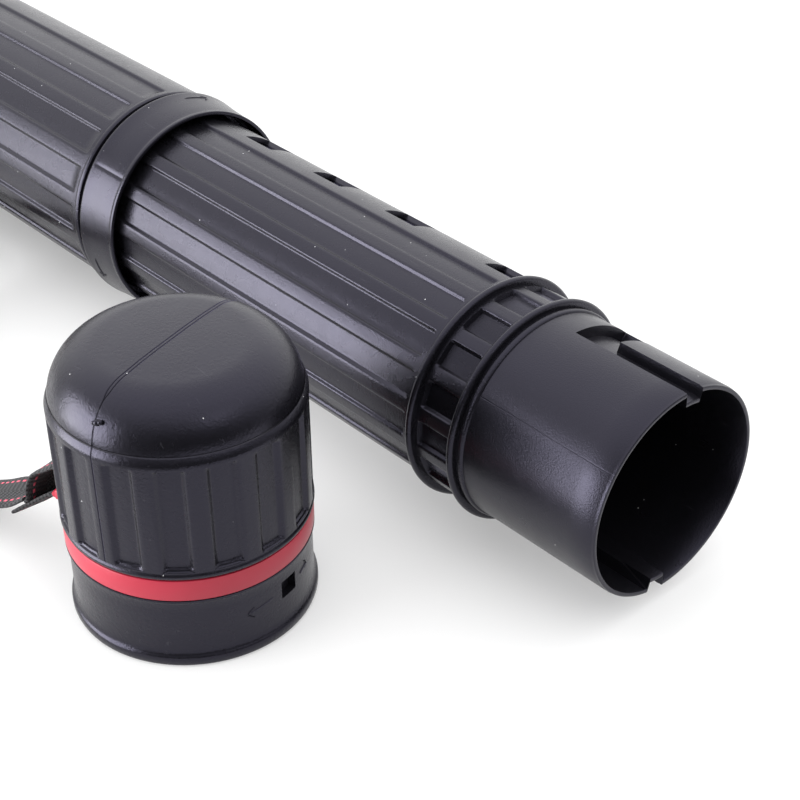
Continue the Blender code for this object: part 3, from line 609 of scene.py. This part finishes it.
collar_shape = spun(collar_profile, press_collar, tube_place)
raised_arrow(collar_shape, tube_place, 0.0489, (81.0, -0.0165), (64.0, -0.0165), (4.0, 0.0024))
raised_arrow(collar_shape, tube_place, 0.0489, (192.0, -0.0160), (208.0, -0.0160), (4.0, 0.0024))
lock_collar = finish_mesh(collar_shape, "lock_collar_ring", collar_black)
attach(lock_collar, "collar")
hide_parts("lock_collar")

# The inner tube slides in the outer one. It has the same ribs, a wide plain land with lock slots,
# two round stop flanges, and a plain neck with bayonet channels that the cap's lugs run in.
INNER_RADIUS = 0.0437
INNER_BORE = 0.0410
INNER_BACK = -0.322
INNER_PANEL_AT = 89.0
NECK_RADIUS = 0.0430
REAR_FLANGE = 0.1900
FRONT_FLANGE = 0.2122
STEP_FRONT = 0.2167
MOUTH = 0.2827
SLOT_HALF = 0.0085
SLOT_DEPTH = 0.0026
SLOT_LOW = 54.0
SLOT_HIGH = 71.6
slot_centres = [-0.0160 + step * 0.0455 for step in range(-5, 4)] + [0.1785]
CHANNEL_LOW = 76.0
CHANNEL_HIGH = 87.5
CHANNEL_TURN = 45.0
CHANNEL_DEPTH = 0.0042
CHANNEL_BACK = 0.2296
CHANNEL_FRONT = 0.2431
NECK_PARTING = 143.5
EDGE_SOFT = 0.00035
inner_black, inner_tree, inner_shader, inner_skin, inner_bump = black_moulding("slide_black", 3.2, 1.0, 1.1)
inner_coords = add(inner_tree, "ShaderNodeTexCoord").outputs["Object"]
inner_turned = add(inner_tree, "ShaderNodeMapping", {"vector_type": "TEXTURE"}, Vector=inner_coords)
inner_turned.inputs["Location"].default_value = TUBE_AXIS
inner_turned.inputs["Rotation"].default_value = (math.radians(NECK_PARTING), 0, 0)
inner_axes = add(inner_tree, "ShaderNodeSeparateXYZ", Vector=inner_turned.outputs[0])
off_parting = sum_of(inner_tree, "ABSOLUTE", inner_axes.outputs["Z"])
neck_line = steps_between(inner_tree, off_parting, 0.00030, 0.00008)
on_neck = steps_between(inner_tree, inner_axes.outputs["X"], STEP_FRONT, STEP_FRONT + 0.0010)
on_side = steps_between(inner_tree, inner_axes.outputs["Y"], 0.0, 0.0100)
neck_line = sum_of(inner_tree, "MULTIPLY", neck_line, sum_of(inner_tree, "MULTIPLY", on_neck, on_side))
inner_height = sum_of(inner_tree, "MULTIPLY_ADD", neck_line, -4.0, inner_skin.outputs["Height"])
inner_tree.links.new(inner_height, inner_bump.inputs["Height"])
neck_rough = sum_of(inner_tree, "MULTIPLY_ADD", on_neck, 0.03, inner_skin.outputs["Roughness"])
inner_tree.links.new(neck_rough, inner_shader.inputs["Roughness"])
# Painted shade: the floors of the slots lie deep, so they are set to black metal, which gives back almost no light.
# The bore behind the neck and the window floors between the flanges get it too.
square_off = sum_of(inner_tree, "MULTIPLY", inner_axes.outputs["Y"], inner_axes.outputs["Y"])
square_off = sum_of(inner_tree, "MULTIPLY_ADD", inner_axes.outputs["Z"], inner_axes.outputs["Z"], square_off)
axis_off = sum_of(inner_tree, "SQRT", square_off)
slot_painted_shade = steps_between(inner_tree, axis_off, 0.0421, 0.0414)
behind_neck = steps_between(inner_tree, inner_axes.outputs["X"], STEP_FRONT + 0.0010, STEP_FRONT)
slot_painted_shade = sum_of(inner_tree, "MULTIPLY", slot_painted_shade, behind_neck)
inner_tree.links.new(sum_of(inner_tree, "MULTIPLY", slot_painted_shade, 0.85), inner_shader.inputs["Metallic"])


def flange_profile(centre, radius, front_inside, back_inside):
    """A stop flange: a half-round rim standing on the tube, front side first."""
    half = 0.0015
    return [
        (front_inside, centre + half),
        (radius - half, centre + half),
        *rounded((radius - half, centre), half, 75, -75, 6),
        (radius - half, centre - half),
        (back_inside, centre - half),
    ]


inner_outside = [
    (INNER_BORE, MOUTH - 0.0004),
    (0.0412, MOUTH - 0.0001),
    (0.0417, MOUTH),
    (0.0423, MOUTH),
    (0.0427, MOUTH - 0.0002),
    (0.0428, MOUTH - 0.0006),
    (0.0428, MOUTH - 0.0015),
    (0.0430, MOUTH - 0.0018),
    (NECK_RADIUS, STEP_FRONT + 0.0004),
    (NECK_RADIUS + 0.0005, STEP_FRONT + 0.0002),
    (NECK_RADIUS + 0.0009, STEP_FRONT - 0.0004),
    (NECK_RADIUS + 0.0009, STEP_FRONT - 0.0016),
    (NECK_RADIUS + 0.0004, STEP_FRONT - 0.0020),
    *flange_profile(FRONT_FLANGE, 0.0465, NECK_RADIUS + 0.0004, INNER_RADIUS),
    *flange_profile(REAR_FLANGE, 0.0468, INNER_RADIUS, INNER_RADIUS),
    (INNER_RADIUS, INNER_BACK + 0.0010),
    (INNER_RADIUS - 0.0010, INNER_BACK),
    (INNER_BORE, INNER_BACK),
]
inner_stations = [CHANNEL_BACK + 0.02 * step for step in range(3)]
for edge in [CHANNEL_BACK, CHANNEL_FRONT]:
    inner_stations += [edge - EDGE_SOFT, edge, edge + EDGE_SOFT]
for centre in slot_centres:
    for edge, inward in ((centre - SLOT_HALF, 1), (centre + SLOT_HALF, -1)):
        inner_stations += [edge - inward * step for step in (EDGE_SOFT * 4, EDGE_SOFT, 0.0, -EDGE_SOFT * 4)]
INNER_RIBS_BACK = -0.297
INNER_RIBS_FRONT = 0.1840
WINDOW_BACK = 0.1937
WINDOW_FRONT = 0.2085
for edge in (INNER_RIBS_BACK, INNER_RIBS_FRONT, WINDOW_BACK, WINDOW_FRONT):
    inner_stations += [edge - 0.0008, edge, edge + 0.0008]
bore_stations = [station for station in inner_stations if station < MOUTH - 0.002]


def neck_angle(index):
    """An even spin step on the neck, moved to the nearest edge of a channel or to the parting line."""
    step = 360.0 / (RIB_COUNT * RIB_STEPS)
    angle = INNER_PANEL_AT + index * step
    for edge in (CHANNEL_LOW, CHANNEL_HIGH, CHANNEL_TURN):
        offset = (angle - edge + 90.0) % 180.0 - 90.0
        if -step <= offset < 0:
            return angle - offset - 0.18
        if 0 <= offset < step:
            return angle - offset + 0.18
    return angle


def channel_depth(angle, height, grow):
    """How deep the bayonet channels are at a point of the neck, from 0 to 1."""
    turn = (angle - CHANNEL_LOW + 90.0) % 180.0 - 90.0 + CHANNEL_LOW
    reach = math.degrees(grow / INNER_BORE)
    lengthwise = height > CHANNEL_BACK - grow - EDGE_SOFT / 2
    entry = CHANNEL_LOW - reach <= turn <= CHANNEL_HIGH + reach and lengthwise
    leg = CHANNEL_TURN - reach <= turn <= CHANNEL_HIGH + reach and lengthwise
    leg = leg and height < CHANNEL_FRONT + grow + EDGE_SOFT / 2
    return 1.0 if entry or leg else 0.0


def slot_share(angle, height, grow):
    """How deep the lock slots are at a point of the ribbed slide, from 0 to 1."""
    turn = angle % 360.0
    reach = math.degrees(grow / INNER_BORE)
    if not SLOT_LOW - reach <= turn <= SLOT_HIGH + reach:
        return 0.0
    return max(
        between(height, centre - SLOT_HALF - grow, centre + SLOT_HALF + grow, EDGE_SOFT)
        for centre in slot_centres
    )


def press_inner(radius, height, index):
    outside = radius > INNER_BORE + 0.0008
    if height > STEP_FRONT:
        angle = neck_angle(index)
        grow = 0.0 if outside or height > MOUTH - 0.001 else 0.0012
        radius -= CHANNEL_DEPTH * channel_depth(angle, height, grow)
        return radius, angle
    panel, angle, share = rib_place(index, INNER_PANEL_AT)
    if not outside:
        radius -= 0.0019 * slot_share(angle, height, 0.0012)
        return radius, angle
    sunk = 0.0
    if panel != WIDE_LAND:
        sunk = RIB_DEPTH * share * between(height, INNER_RIBS_BACK, INNER_RIBS_FRONT, 0.0008)
    if radius < INNER_RADIUS + 0.0002:
        window = between(height, WINDOW_BACK, WINDOW_FRONT, 0.0008)
        sunk = max(sunk, 0.0019 * share * window, SLOT_DEPTH * slot_share(angle, height, 0.0))
    return radius - sunk, angle


inner_profile = with_stations(inner_outside, inner_stations)
inner_profile += with_stations([(INNER_BORE, INNER_BACK), (INNER_BORE, MOUTH - 0.0004)], bore_stations)[1:]
inner_tube = finish_mesh(spun(inner_profile, press_inner, tube_place), "slide_tube", inner_black)
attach(inner_tube, "slide")
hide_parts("inner_tube")

# The cap is a blow-moulded black shell: a round shoulder with a parting line across the crown,
# sunk panels, a seat for the red ring, and a skirt with two lugs pressed in from outside.
CAP_RADIUS = 0.0464
CAP_BORE = 0.0436
CAP_HEIGHT = 0.1105
CAP_SHOULDER = 0.0200
CAP_SKIRT = 0.0451
CAP_DOME = 0.0452
CAP_PANEL_AT = -18.0
CAP_STOPS = (0.0, 1.8, 3.4, 4.5, 4.9, 5.4, 6.1, 6.8, 7.3, 9.2, 11.25)
CAP_SHARES = (1.0, 1.0, 1.0, 1.0, 0.97, 0.80, 0.46, 0.12, 0.0, 0.0, 0.0)
CAP_PANEL_DEPTH = 0.0017
CAP_PANEL_LOW = 0.0452
CAP_PANEL_HIGH = 0.0866
CAP_LUG_LOW = 0.0165
CAP_LUG_HIGH = 0.0239
CAP_LUG_START = 8.8
CAP_LUG_END = 18.8
CAP_PARTING = math.radians(-74.8)
shoulder_centre = (CAP_DOME - CAP_SHOULDER, CAP_HEIGHT - CAP_SHOULDER)
cap_outside = [
    (0.0, CAP_HEIGHT + 0.0007),
    (0.0080, CAP_HEIGHT + 0.0007),
    (0.0170, CAP_HEIGHT + 0.0005),
    *rounded(shoulder_centre, CAP_SHOULDER, 90, 4, 16),
    (CAP_DOME, 0.0930),
    (CAP_DOME - 0.0002, 0.0926),
    (CAP_DOME, 0.0922),
    (CAP_DOME + 0.0003, 0.0919),
    (CAP_RADIUS - 0.0002, 0.0901),
    (CAP_RADIUS, 0.0896),
    (CAP_RADIUS, 0.0437),
    (CAP_RADIUS - 0.0004, 0.0434),
    (CAP_RADIUS - 0.0004, 0.0430),
    (CAP_RADIUS, 0.0425),
    (CAP_RADIUS + 0.0002, 0.0418),
    (CAP_RADIUS, 0.0410),
    (CAP_RADIUS - 0.0006, 0.0404),
    (0.0445, 0.0403),
    (0.0445, 0.0307),
    (CAP_RADIUS - 0.0007, 0.0307),
    (CAP_RADIUS - 0.0003, 0.0304),
    (CAP_RADIUS - 0.0003, 0.0299),
    (CAP_RADIUS - 0.0007, 0.0296),
    (CAP_SKIRT + 0.0002, 0.0292),
    (CAP_SKIRT, 0.0285),
    (CAP_SKIRT, 0.0074),
    (CAP_SKIRT + 0.0002, 0.0060),
    (CAP_SKIRT + 0.0005, 0.0051),
    (CAP_RADIUS - 0.0005, 0.0046),
    (CAP_RADIUS - 0.0001, 0.0042),
    (CAP_RADIUS + 0.0001, 0.0035),
    (CAP_RADIUS + 0.0001, 0.0016),
    (CAP_RADIUS - 0.0003, 0.0005),
    (CAP_RADIUS - 0.0012, 0.0),
]
cap_inside = [
    (CAP_BORE + 0.0004, 0.0),
    (CAP_BORE, 0.0004),
    (CAP_BORE, 0.0884),
    *rounded(shoulder_centre, CAP_SHOULDER - 0.0018, 0, 90, 8),
    (0.0, CAP_HEIGHT - 0.0013),
]
cap_stations = []
for edge in (CAP_LUG_LOW, CAP_LUG_HIGH):
    cap_stations += [edge - 0.0009, edge - 0.0001, edge + 0.0001, edge + 0.0009]
cap_stations += [CAP_PANEL_HIGH + step for step in (-0.0006, 0.0, 0.0006, 0.0012, 0.0016)]
cap_stations += [CAP_PANEL_LOW + step for step in (0.0004, 0.0, -0.0003, -0.0008, -0.0011, -0.0013)]


def skirt_angle(index):
    """An even spin step on the skirt, moved to the nearest edge of a lug."""
    step = 360.0 / (RIB_COUNT * RIB_STEPS)
    angle = CAP_PANEL_AT + index * step
    for edge in (CAP_LUG_START, CAP_LUG_END):
        offset = (angle - edge + 90.0) % 180.0 - 90.0
        if -step <= offset < 0:
            return angle - offset - 0.12
        if 0 <= offset < step:
            return angle - offset + 0.12
    return angle


def press_cap(radius, height, index):
    if height < 0.0300:
        angle = skirt_angle(index)
        turn = (angle - CAP_LUG_START + 90.0) % 180.0 - 90.0 + CAP_LUG_START
        outside = radius > CAP_BORE + 0.0008
        grow = 0.0 if outside else 0.0009
        reach = math.degrees(grow / CAP_BORE)
        in_turn = CAP_LUG_START - reach <= turn <= CAP_LUG_END + reach
        if in_turn and CAP_LUG_LOW - grow <= height <= CAP_LUG_HIGH + grow:
            radius -= 0.0031
        return radius, angle
    panel, angle, share = rib_place(index, CAP_PANEL_AT, CAP_STOPS, CAP_SHARES)
    if radius > CAP_RADIUS - 0.0010 and height > 0.0434:
        foot = ramp(height, CAP_PANEL_LOW - 0.0013, CAP_PANEL_LOW - 0.0010)
        foot += ramp(height, CAP_PANEL_LOW - 0.0004, CAP_PANEL_LOW)
        top = 1 - ramp(height, CAP_PANEL_HIGH, CAP_PANEL_HIGH + 0.0012)
        radius -= CAP_PANEL_DEPTH * share * top * foot / 2
    return radius, angle


cap_black, cap_tree, cap_shader, cap_skin, cap_bump = black_moulding("cap_black", 2.6, 1.0, 1.3)
cap_coords = add(cap_tree, "ShaderNodeTexCoord").outputs["Object"]
cap_turned = add(cap_tree, "ShaderNodeMapping", {"vector_type": "TEXTURE"}, Vector=cap_coords)
cap_turned.inputs["Location"].default_value = CAP_AXIS
cap_turned.inputs["Rotation"].default_value = (0, 0, CAP_PARTING)
cap_axes = add(cap_tree, "ShaderNodeSeparateXYZ", Vector=cap_turned.outputs[0])
off_line = sum_of(cap_tree, "ABSOLUTE", cap_axes.outputs["Y"])
on_crown = steps_between(cap_tree, cap_axes.outputs["Z"], 0.1060, 0.1090)
line_apart = sum_of(cap_tree, "MULTIPLY", on_crown, 0.00065)
line_off = sum_of(cap_tree, "ABSOLUTE", sum_of(cap_tree, "SUBTRACT", off_line, line_apart))
parting = steps_between(cap_tree, line_off, 0.00042, 0.00010)
above_ring = steps_between(cap_tree, cap_axes.outputs["Z"], 0.0430, 0.0440)
parting = sum_of(cap_tree, "MULTIPLY", parting, above_ring)
leather = add(cap_tree, "ShaderNodeTexNoise", Vector=cap_coords, Scale=720.0, Detail=2.0).outputs["Fac"]
leather_height = sum_of(cap_tree, "MULTIPLY_ADD", leather, 3.4, cap_skin.outputs["Height"])
cap_height = sum_of(cap_tree, "MULTIPLY_ADD", parting, -9.0, leather_height)
cap_tree.links.new(cap_height, cap_bump.inputs["Height"])
# Painted shade: the line is set to metal, so its black gives back no light, standing in for the shade at the bottom of
# a crack.
cap_tree.links.new(sum_of(cap_tree, "MULTIPLY", parting, 0.85), cap_shader.inputs["Metallic"])

cap_profile = with_stations(cap_outside, cap_stations) + with_stations(cap_inside, cap_stations)
cap_shape = spun(cap_profile, press_cap, cap_place)
nub_place = cap_place @ Matrix.Rotation(CAP_PARTING, 4, "Z") @ Matrix.Translation((0.0424, 0.0008, 0.1012))
for nub_offset, nub_size in ((0.0, 0.0013), (0.0016, 0.0010), (-0.0013, 0.0009)):
    nub_at = nub_place @ Matrix.Translation((0.0, nub_offset, nub_offset * 0.4))
    nub = bmesh.ops.create_icosphere(cap_shape, subdivisions=2, radius=nub_size, matrix=nub_at)["verts"]
    bmesh.ops.smooth_vert(cap_shape, verts=nub, factor=0.3, use_axis_x=True, use_axis_y=True, use_axis_z=True)
raised_arrow(cap_shape, cap_place, CAP_SKIRT, (4.5, 0.0200), (-11.5, 0.0176), (4.2, 0.0026))
raised_arrow(cap_shape, cap_place, CAP_SKIRT, (22.5, 0.0200), (31.0, 0.0215), (3.0, 0.0018))
cap_shell = finish_mesh(cap_shape, "cap_body", cap_black)
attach(cap_shell, "cap")
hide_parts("cap_shell")

# The strap rings are red plastic bands snapped into their seats, each with a small bail: two
# posts and a round bar that the webbing is folded over.
RING_WIDTH = 0.0090
RING_THICK = 0.0013
BAR_RADIUS = 0.0013
BAIL_STAND = 0.0042
BAIL_HALF = 0.0123
POST_WIDTH = 0.0026
POST_HEIGHT = 0.0042
red_plastic, tree, shader = make_material("red_plastic", 0.36)
red_place = add(tree, "ShaderNodeTexCoord").outputs["Object"]
red_flow = add(tree, "ShaderNodeTexNoise", Vector=red_place, Scale=60.0, Detail=4.0).outputs["Fac"]
red_grain = add(tree, "ShaderNodeTexNoise", Vector=red_place, Scale=1500.0, Detail=2.0).outputs["Fac"]
red_tone = tint(tree, red_flow, (0.41, 0.013, 0.036, 1), (0.49, 0.023, 0.053, 1))
tree.links.new(red_tone, shader.inputs["Base Color"])
red_rough = sum_of(tree, "MULTIPLY_ADD", red_flow, 0.18, 0.28)
tree.links.new(red_rough, shader.inputs["Roughness"])
red_bump = add(tree, "ShaderNodeBump", Strength=0.25, Distance=0.00006, Height=red_grain)
tree.links.new(red_bump.outputs["Normal"], shader.inputs["Normal"])


def strap_ring(name, low, seat, bail_turn, place):
    """A band with softened edges, and its bail."""
    inside = seat + 0.0003
    outside = inside + RING_THICK
    high = low + RING_WIDTH
    profile = [
        (inside, high),
        (outside - 0.0004, high),
        (outside - 0.0001, high - 0.0001),
        (outside, high - 0.0004),
        (outside + 0.00005, low + RING_WIDTH / 2),
        (outside, low + 0.0004),
        (outside - 0.0001, low + 0.0001),
        (outside - 0.0004, low),
        (inside, low),
        (inside, high),
    ]
    shape = spun(profile, lambda radius, height, index: (radius, index * 1.125), Matrix.Identity(4))
    reach = outside + BAIL_STAND
    middle = low + RING_WIDTH / 2
    turned = Matrix.Rotation(bail_turn, 4, "Z")
    for side in (-1, 1):
        root = math.sqrt((inside + RING_THICK / 2) ** 2 - BAIL_HALF**2)
        post = bmesh.ops.create_cube(shape, size=1.0)["verts"]
        bmesh.ops.scale(shape, vec=(reach - root, POST_WIDTH, POST_HEIGHT), verts=post)
        edges = list({edge for vert in post for edge in vert.link_edges})
        bmesh.ops.translate(shape, vec=((reach + root) / 2, side * BAIL_HALF, middle), verts=post)
        bmesh.ops.transform(shape, matrix=turned, verts=post)
        bmesh.ops.bevel(shape, geom=edges, offset=0.0006, affect="EDGES", segments=2, profile=0.5, material=-1)
    across = Matrix.Translation((reach, 0, middle)) @ Matrix.Rotation(math.pi / 2, 4, "X")
    bmesh.ops.create_cone(
        shape,
        cap_ends=True,
        segments=24,
        radius1=BAR_RADIUS,
        radius2=BAR_RADIUS,
        depth=2 * BAIL_HALF + 0.0022,
        matrix=turned @ across,
    )
    bmesh.ops.transform(shape, matrix=place, verts=shape.verts)
    return finish_mesh(shape, name, red_plastic)


cap_ring = strap_ring("cap_strap_ring", 0.0310, 0.0445, CAP_BAIL_TURN, cap_place)
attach(cap_ring, "cap")
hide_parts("cap_ring")
base_ring = strap_ring("base_strap_ring", SEAT_BACK + 0.0003, SEAT_RADIUS, BASE_BAIL_TURN, tube_place)
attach(base_ring, "tube")
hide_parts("base_ring")

# The strap's two ends are the webbing itself, folded round the bail's bar and sewn down where it
# meets its own tail. It is stiff, so it stands up in a hump, and the cut tail sticks out.
WRAP = BAR_RADIUS + 0.0003 + STRAP_THICK / 2
TAIL_END = 0.0325
eye_outline = [
    (EYE_JOIN, 0.0),
    (0.0222, -0.0009),
    (0.0205, -0.0009),
    (0.0186, 0.0006),
    (0.0160, 0.0032),
    (0.0122, 0.0056),
    (0.0081, 0.0073),
    (0.0040, 0.0084),
    (0.0, 0.0089),
    (-0.0034, 0.0086),
    (-0.0058, 0.0070),
    (-0.0064, 0.0045),
    (-0.0052, 0.0018),
    (-0.0036, -0.0003),
    *rounded((0.0, 0.0), WRAP, 220, 270, 3),
    (0.0060, -WRAP - 0.0002),
    (0.0150, -WRAP - 0.0003),
    (0.0240, -WRAP - 0.0003),
    (TAIL_END, -WRAP - 0.0005),
]


def sewn_end(name, bail_at, out, up, roll):
    """The folded end of the webbing at one bail, which rolls a little as it leaves the bar."""
    line = list(smooth_line([Vector((x, y, 0.0)) for x, y in eye_outline], 3))
    stations = []
    length = 0.0
    for index, point in enumerate(line):
        before = line[max(index - 1, 0)]
        after = line[min(index + 1, len(line) - 1)]
        run = (after - before).normalized()
        along = out * run.x + up * run.y
        turn = math.radians(roll) * ramp(point.x, 0.0, 0.0100)
        wide = up.cross(out) * math.cos(turn) + up * math.sin(turn)
        wide = (wide - along * wide.dot(along)).normalized()
        if index:
            length += (point - before).length
        stations.append((bail_at + out * point.x + up * point.y, wide, along.cross(wide), length))
    return lay_band(name, stations, webbing)


cap_eye = sewn_end("strap_end_cap", cap_bail_at, cap_eye_out, cap_eye_up, EYE_ROLL)
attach(cap_eye, "cap")
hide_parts("strap_eye_cap")
base_eye = sewn_end("strap_end_base", base_bail_at, base_eye_out, base_eye_up, 0.0)
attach(base_eye, "tube")
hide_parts("strap_eye_base")

# The slider is a small moulded frame with a bar across its middle. The webbing passes over the
# bar and is held there by friction.
SLIDER_HALF = (0.0100, 0.0140, 0.0015)
slider_black = black_moulding("slider_black", 1.0, 0.6, 0.4)[0]
slider_shape = bmesh.new()
bmesh.ops.create_grid(slider_shape, x_segments=5, y_segments=3, size=1.0)
slider_columns = (-0.0100, -0.0066, -0.0017, 0.0017, 0.0066, 0.0100)
slider_rows = (-0.0140, -0.0108, 0.0108, 0.0140)
for vert in slider_shape.verts:
    column = round((vert.co.x + 1) * 2.5)
    row = round((vert.co.y + 1) * 1.5)
    vert.co.x = slider_columns[column]
    vert.co.y = slider_rows[row]
holes = [
    face
    for face in slider_shape.faces
    if abs(face.calc_center_median().y) < 0.005 and 0.003 < abs(face.calc_center_median().x) < 0.006
]
bmesh.ops.delete(slider_shape, geom=holes, context="FACES")
raised = bmesh.ops.extrude_face_region(slider_shape, geom=slider_shape.faces[:])["geom"]
raised = [item for item in raised if isinstance(item, bmesh.types.BMVert)]
bmesh.ops.translate(slider_shape, vec=(0, 0, 2 * SLIDER_HALF[2]), verts=raised)
bmesh.ops.translate(slider_shape, vec=(0, 0, -SLIDER_HALF[2]), verts=slider_shape.verts)
bmesh.ops.recalc_face_normals(slider_shape, faces=slider_shape.faces)
sharp_edges = [edge for edge in slider_shape.edges if edge.calc_face_angle(0.0) > 1.0]
bmesh.ops.bevel(
    slider_shape, geom=sharp_edges, offset=0.0008, affect="EDGES", segments=3, profile=0.5, material=-1
)
slider_up = Vector((0, 0, 1))
slider_turn = Matrix((SLIDER_ALONG, slider_up, SLIDER_ALONG.cross(slider_up))).transposed().to_4x4()
slider_turn.translation = SLIDER_AT
bmesh.ops.transform(slider_shape, matrix=slider_turn, verts=slider_shape.verts)
slider = finish_mesh(slider_shape, "strap_slider_frame", slider_black)
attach(slider, "tube")
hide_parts("strap_slider")

# The table is a plain white sheet that keeps a soft shadow. It ends a hand's breadth in front of
# the cap, under a white ceiling, with a tall softbox at its left and the dark room at its front.
SHEET_MIDDLE = (-0.295, 0.63)
SHEET_SIZE = (2.01, 1.74)
floor_shape = bmesh.new()
bmesh.ops.create_grid(floor_shape, x_segments=1, y_segments=1, size=0.5)
bmesh.ops.scale(floor_shape, vec=(*SHEET_SIZE, 1.0), verts=floor_shape.verts)
bmesh.ops.translate(floor_shape, vec=(*SHEET_MIDDLE, -0.0002), verts=floor_shape.verts)
floor_white, tree, shader = make_material("floor_white", 0.9)
shader.inputs["Base Color"].default_value = (0.60, 0.60, 0.60, 1)
shader.inputs["Specular IOR Level"].default_value = 0.0
rays = add(tree, "ShaderNodeLightPath")
seen = sum_of(tree, "ADD", rays.outputs["Is Camera Ray"], rays.outputs["Is Glossy Ray"])
seen = sum_of(tree, "ADD", seen, rays.outputs["Is Transmission Ray"], clamp=True)
shader.inputs["Emission Color"].default_value = (1, 1, 1, 1)
tree.links.new(sum_of(tree, "MULTIPLY", seen, 0.36), shader.inputs["Emission Strength"])
floor = finish_mesh(floor_shape, "floor", floor_white)

world = bpy.data.worlds.new("studio")
scene.world = world
world.use_nodes = True
world_tree = world.node_tree
world_tree.nodes.clear()
# The room is bright above, behind and below the table, and dark at eye level behind the camera.
BRIGHT_SIDE = (-0.30, 0.36, 0.88)
sky_place = add(world_tree, "ShaderNodeTexCoord").outputs["Generated"]
sky_axes = add(world_tree, "ShaderNodeSeparateXYZ", Vector=sky_place).outputs
off_level = sum_of(world_tree, "ABSOLUTE", sky_axes["Z"])
sky_folded = add(world_tree, "ShaderNodeCombineXYZ", X=sky_axes["X"], Y=sky_axes["Y"], Z=off_level).outputs[0]
towards_bright = add(world_tree, "ShaderNodeVectorMath", {"operation": "DOT_PRODUCT"}, i0=sky_folded, i1=BRIGHT_SIDE)
sky_level = steps_between(world_tree, towards_bright.outputs["Value"], -0.30, 0.95, 0.08, 1.95)
sky = add(world_tree, "ShaderNodeBackground", Color=(1, 1, 1, 1), Strength=sky_level)
world_out = add(world_tree, "ShaderNodeOutputWorld")
world_tree.links.new(sky.outputs[0], world_out.inputs[0])


def soft_light(name, place, aim, size, power):
    """A rectangular softbox that faces a point."""
    data = bpy.data.lights.new(name, "AREA")
    data.shape = "RECTANGLE"
    data.size = size[0]
    data.size_y = size[1]
    data.energy = power
    lamp = bpy.data.objects.new(name, data)
    lamp.location = place
    lamp.rotation_euler = (Vector(aim) - Vector(place)).to_track_quat("-Z", "Y").to_euler()
    scene.collection.objects.link(lamp)


soft_light("left_softbox", (-1.75, -3.44, 0.34), (0.25, 0.02, 0.07), (3.60, 2.90), 340.0)
soft_light("right_softbox", (1.78, 0.02, 1.35), (0.25, 0.02, 0.07), (0.90, 0.50), 1.9)
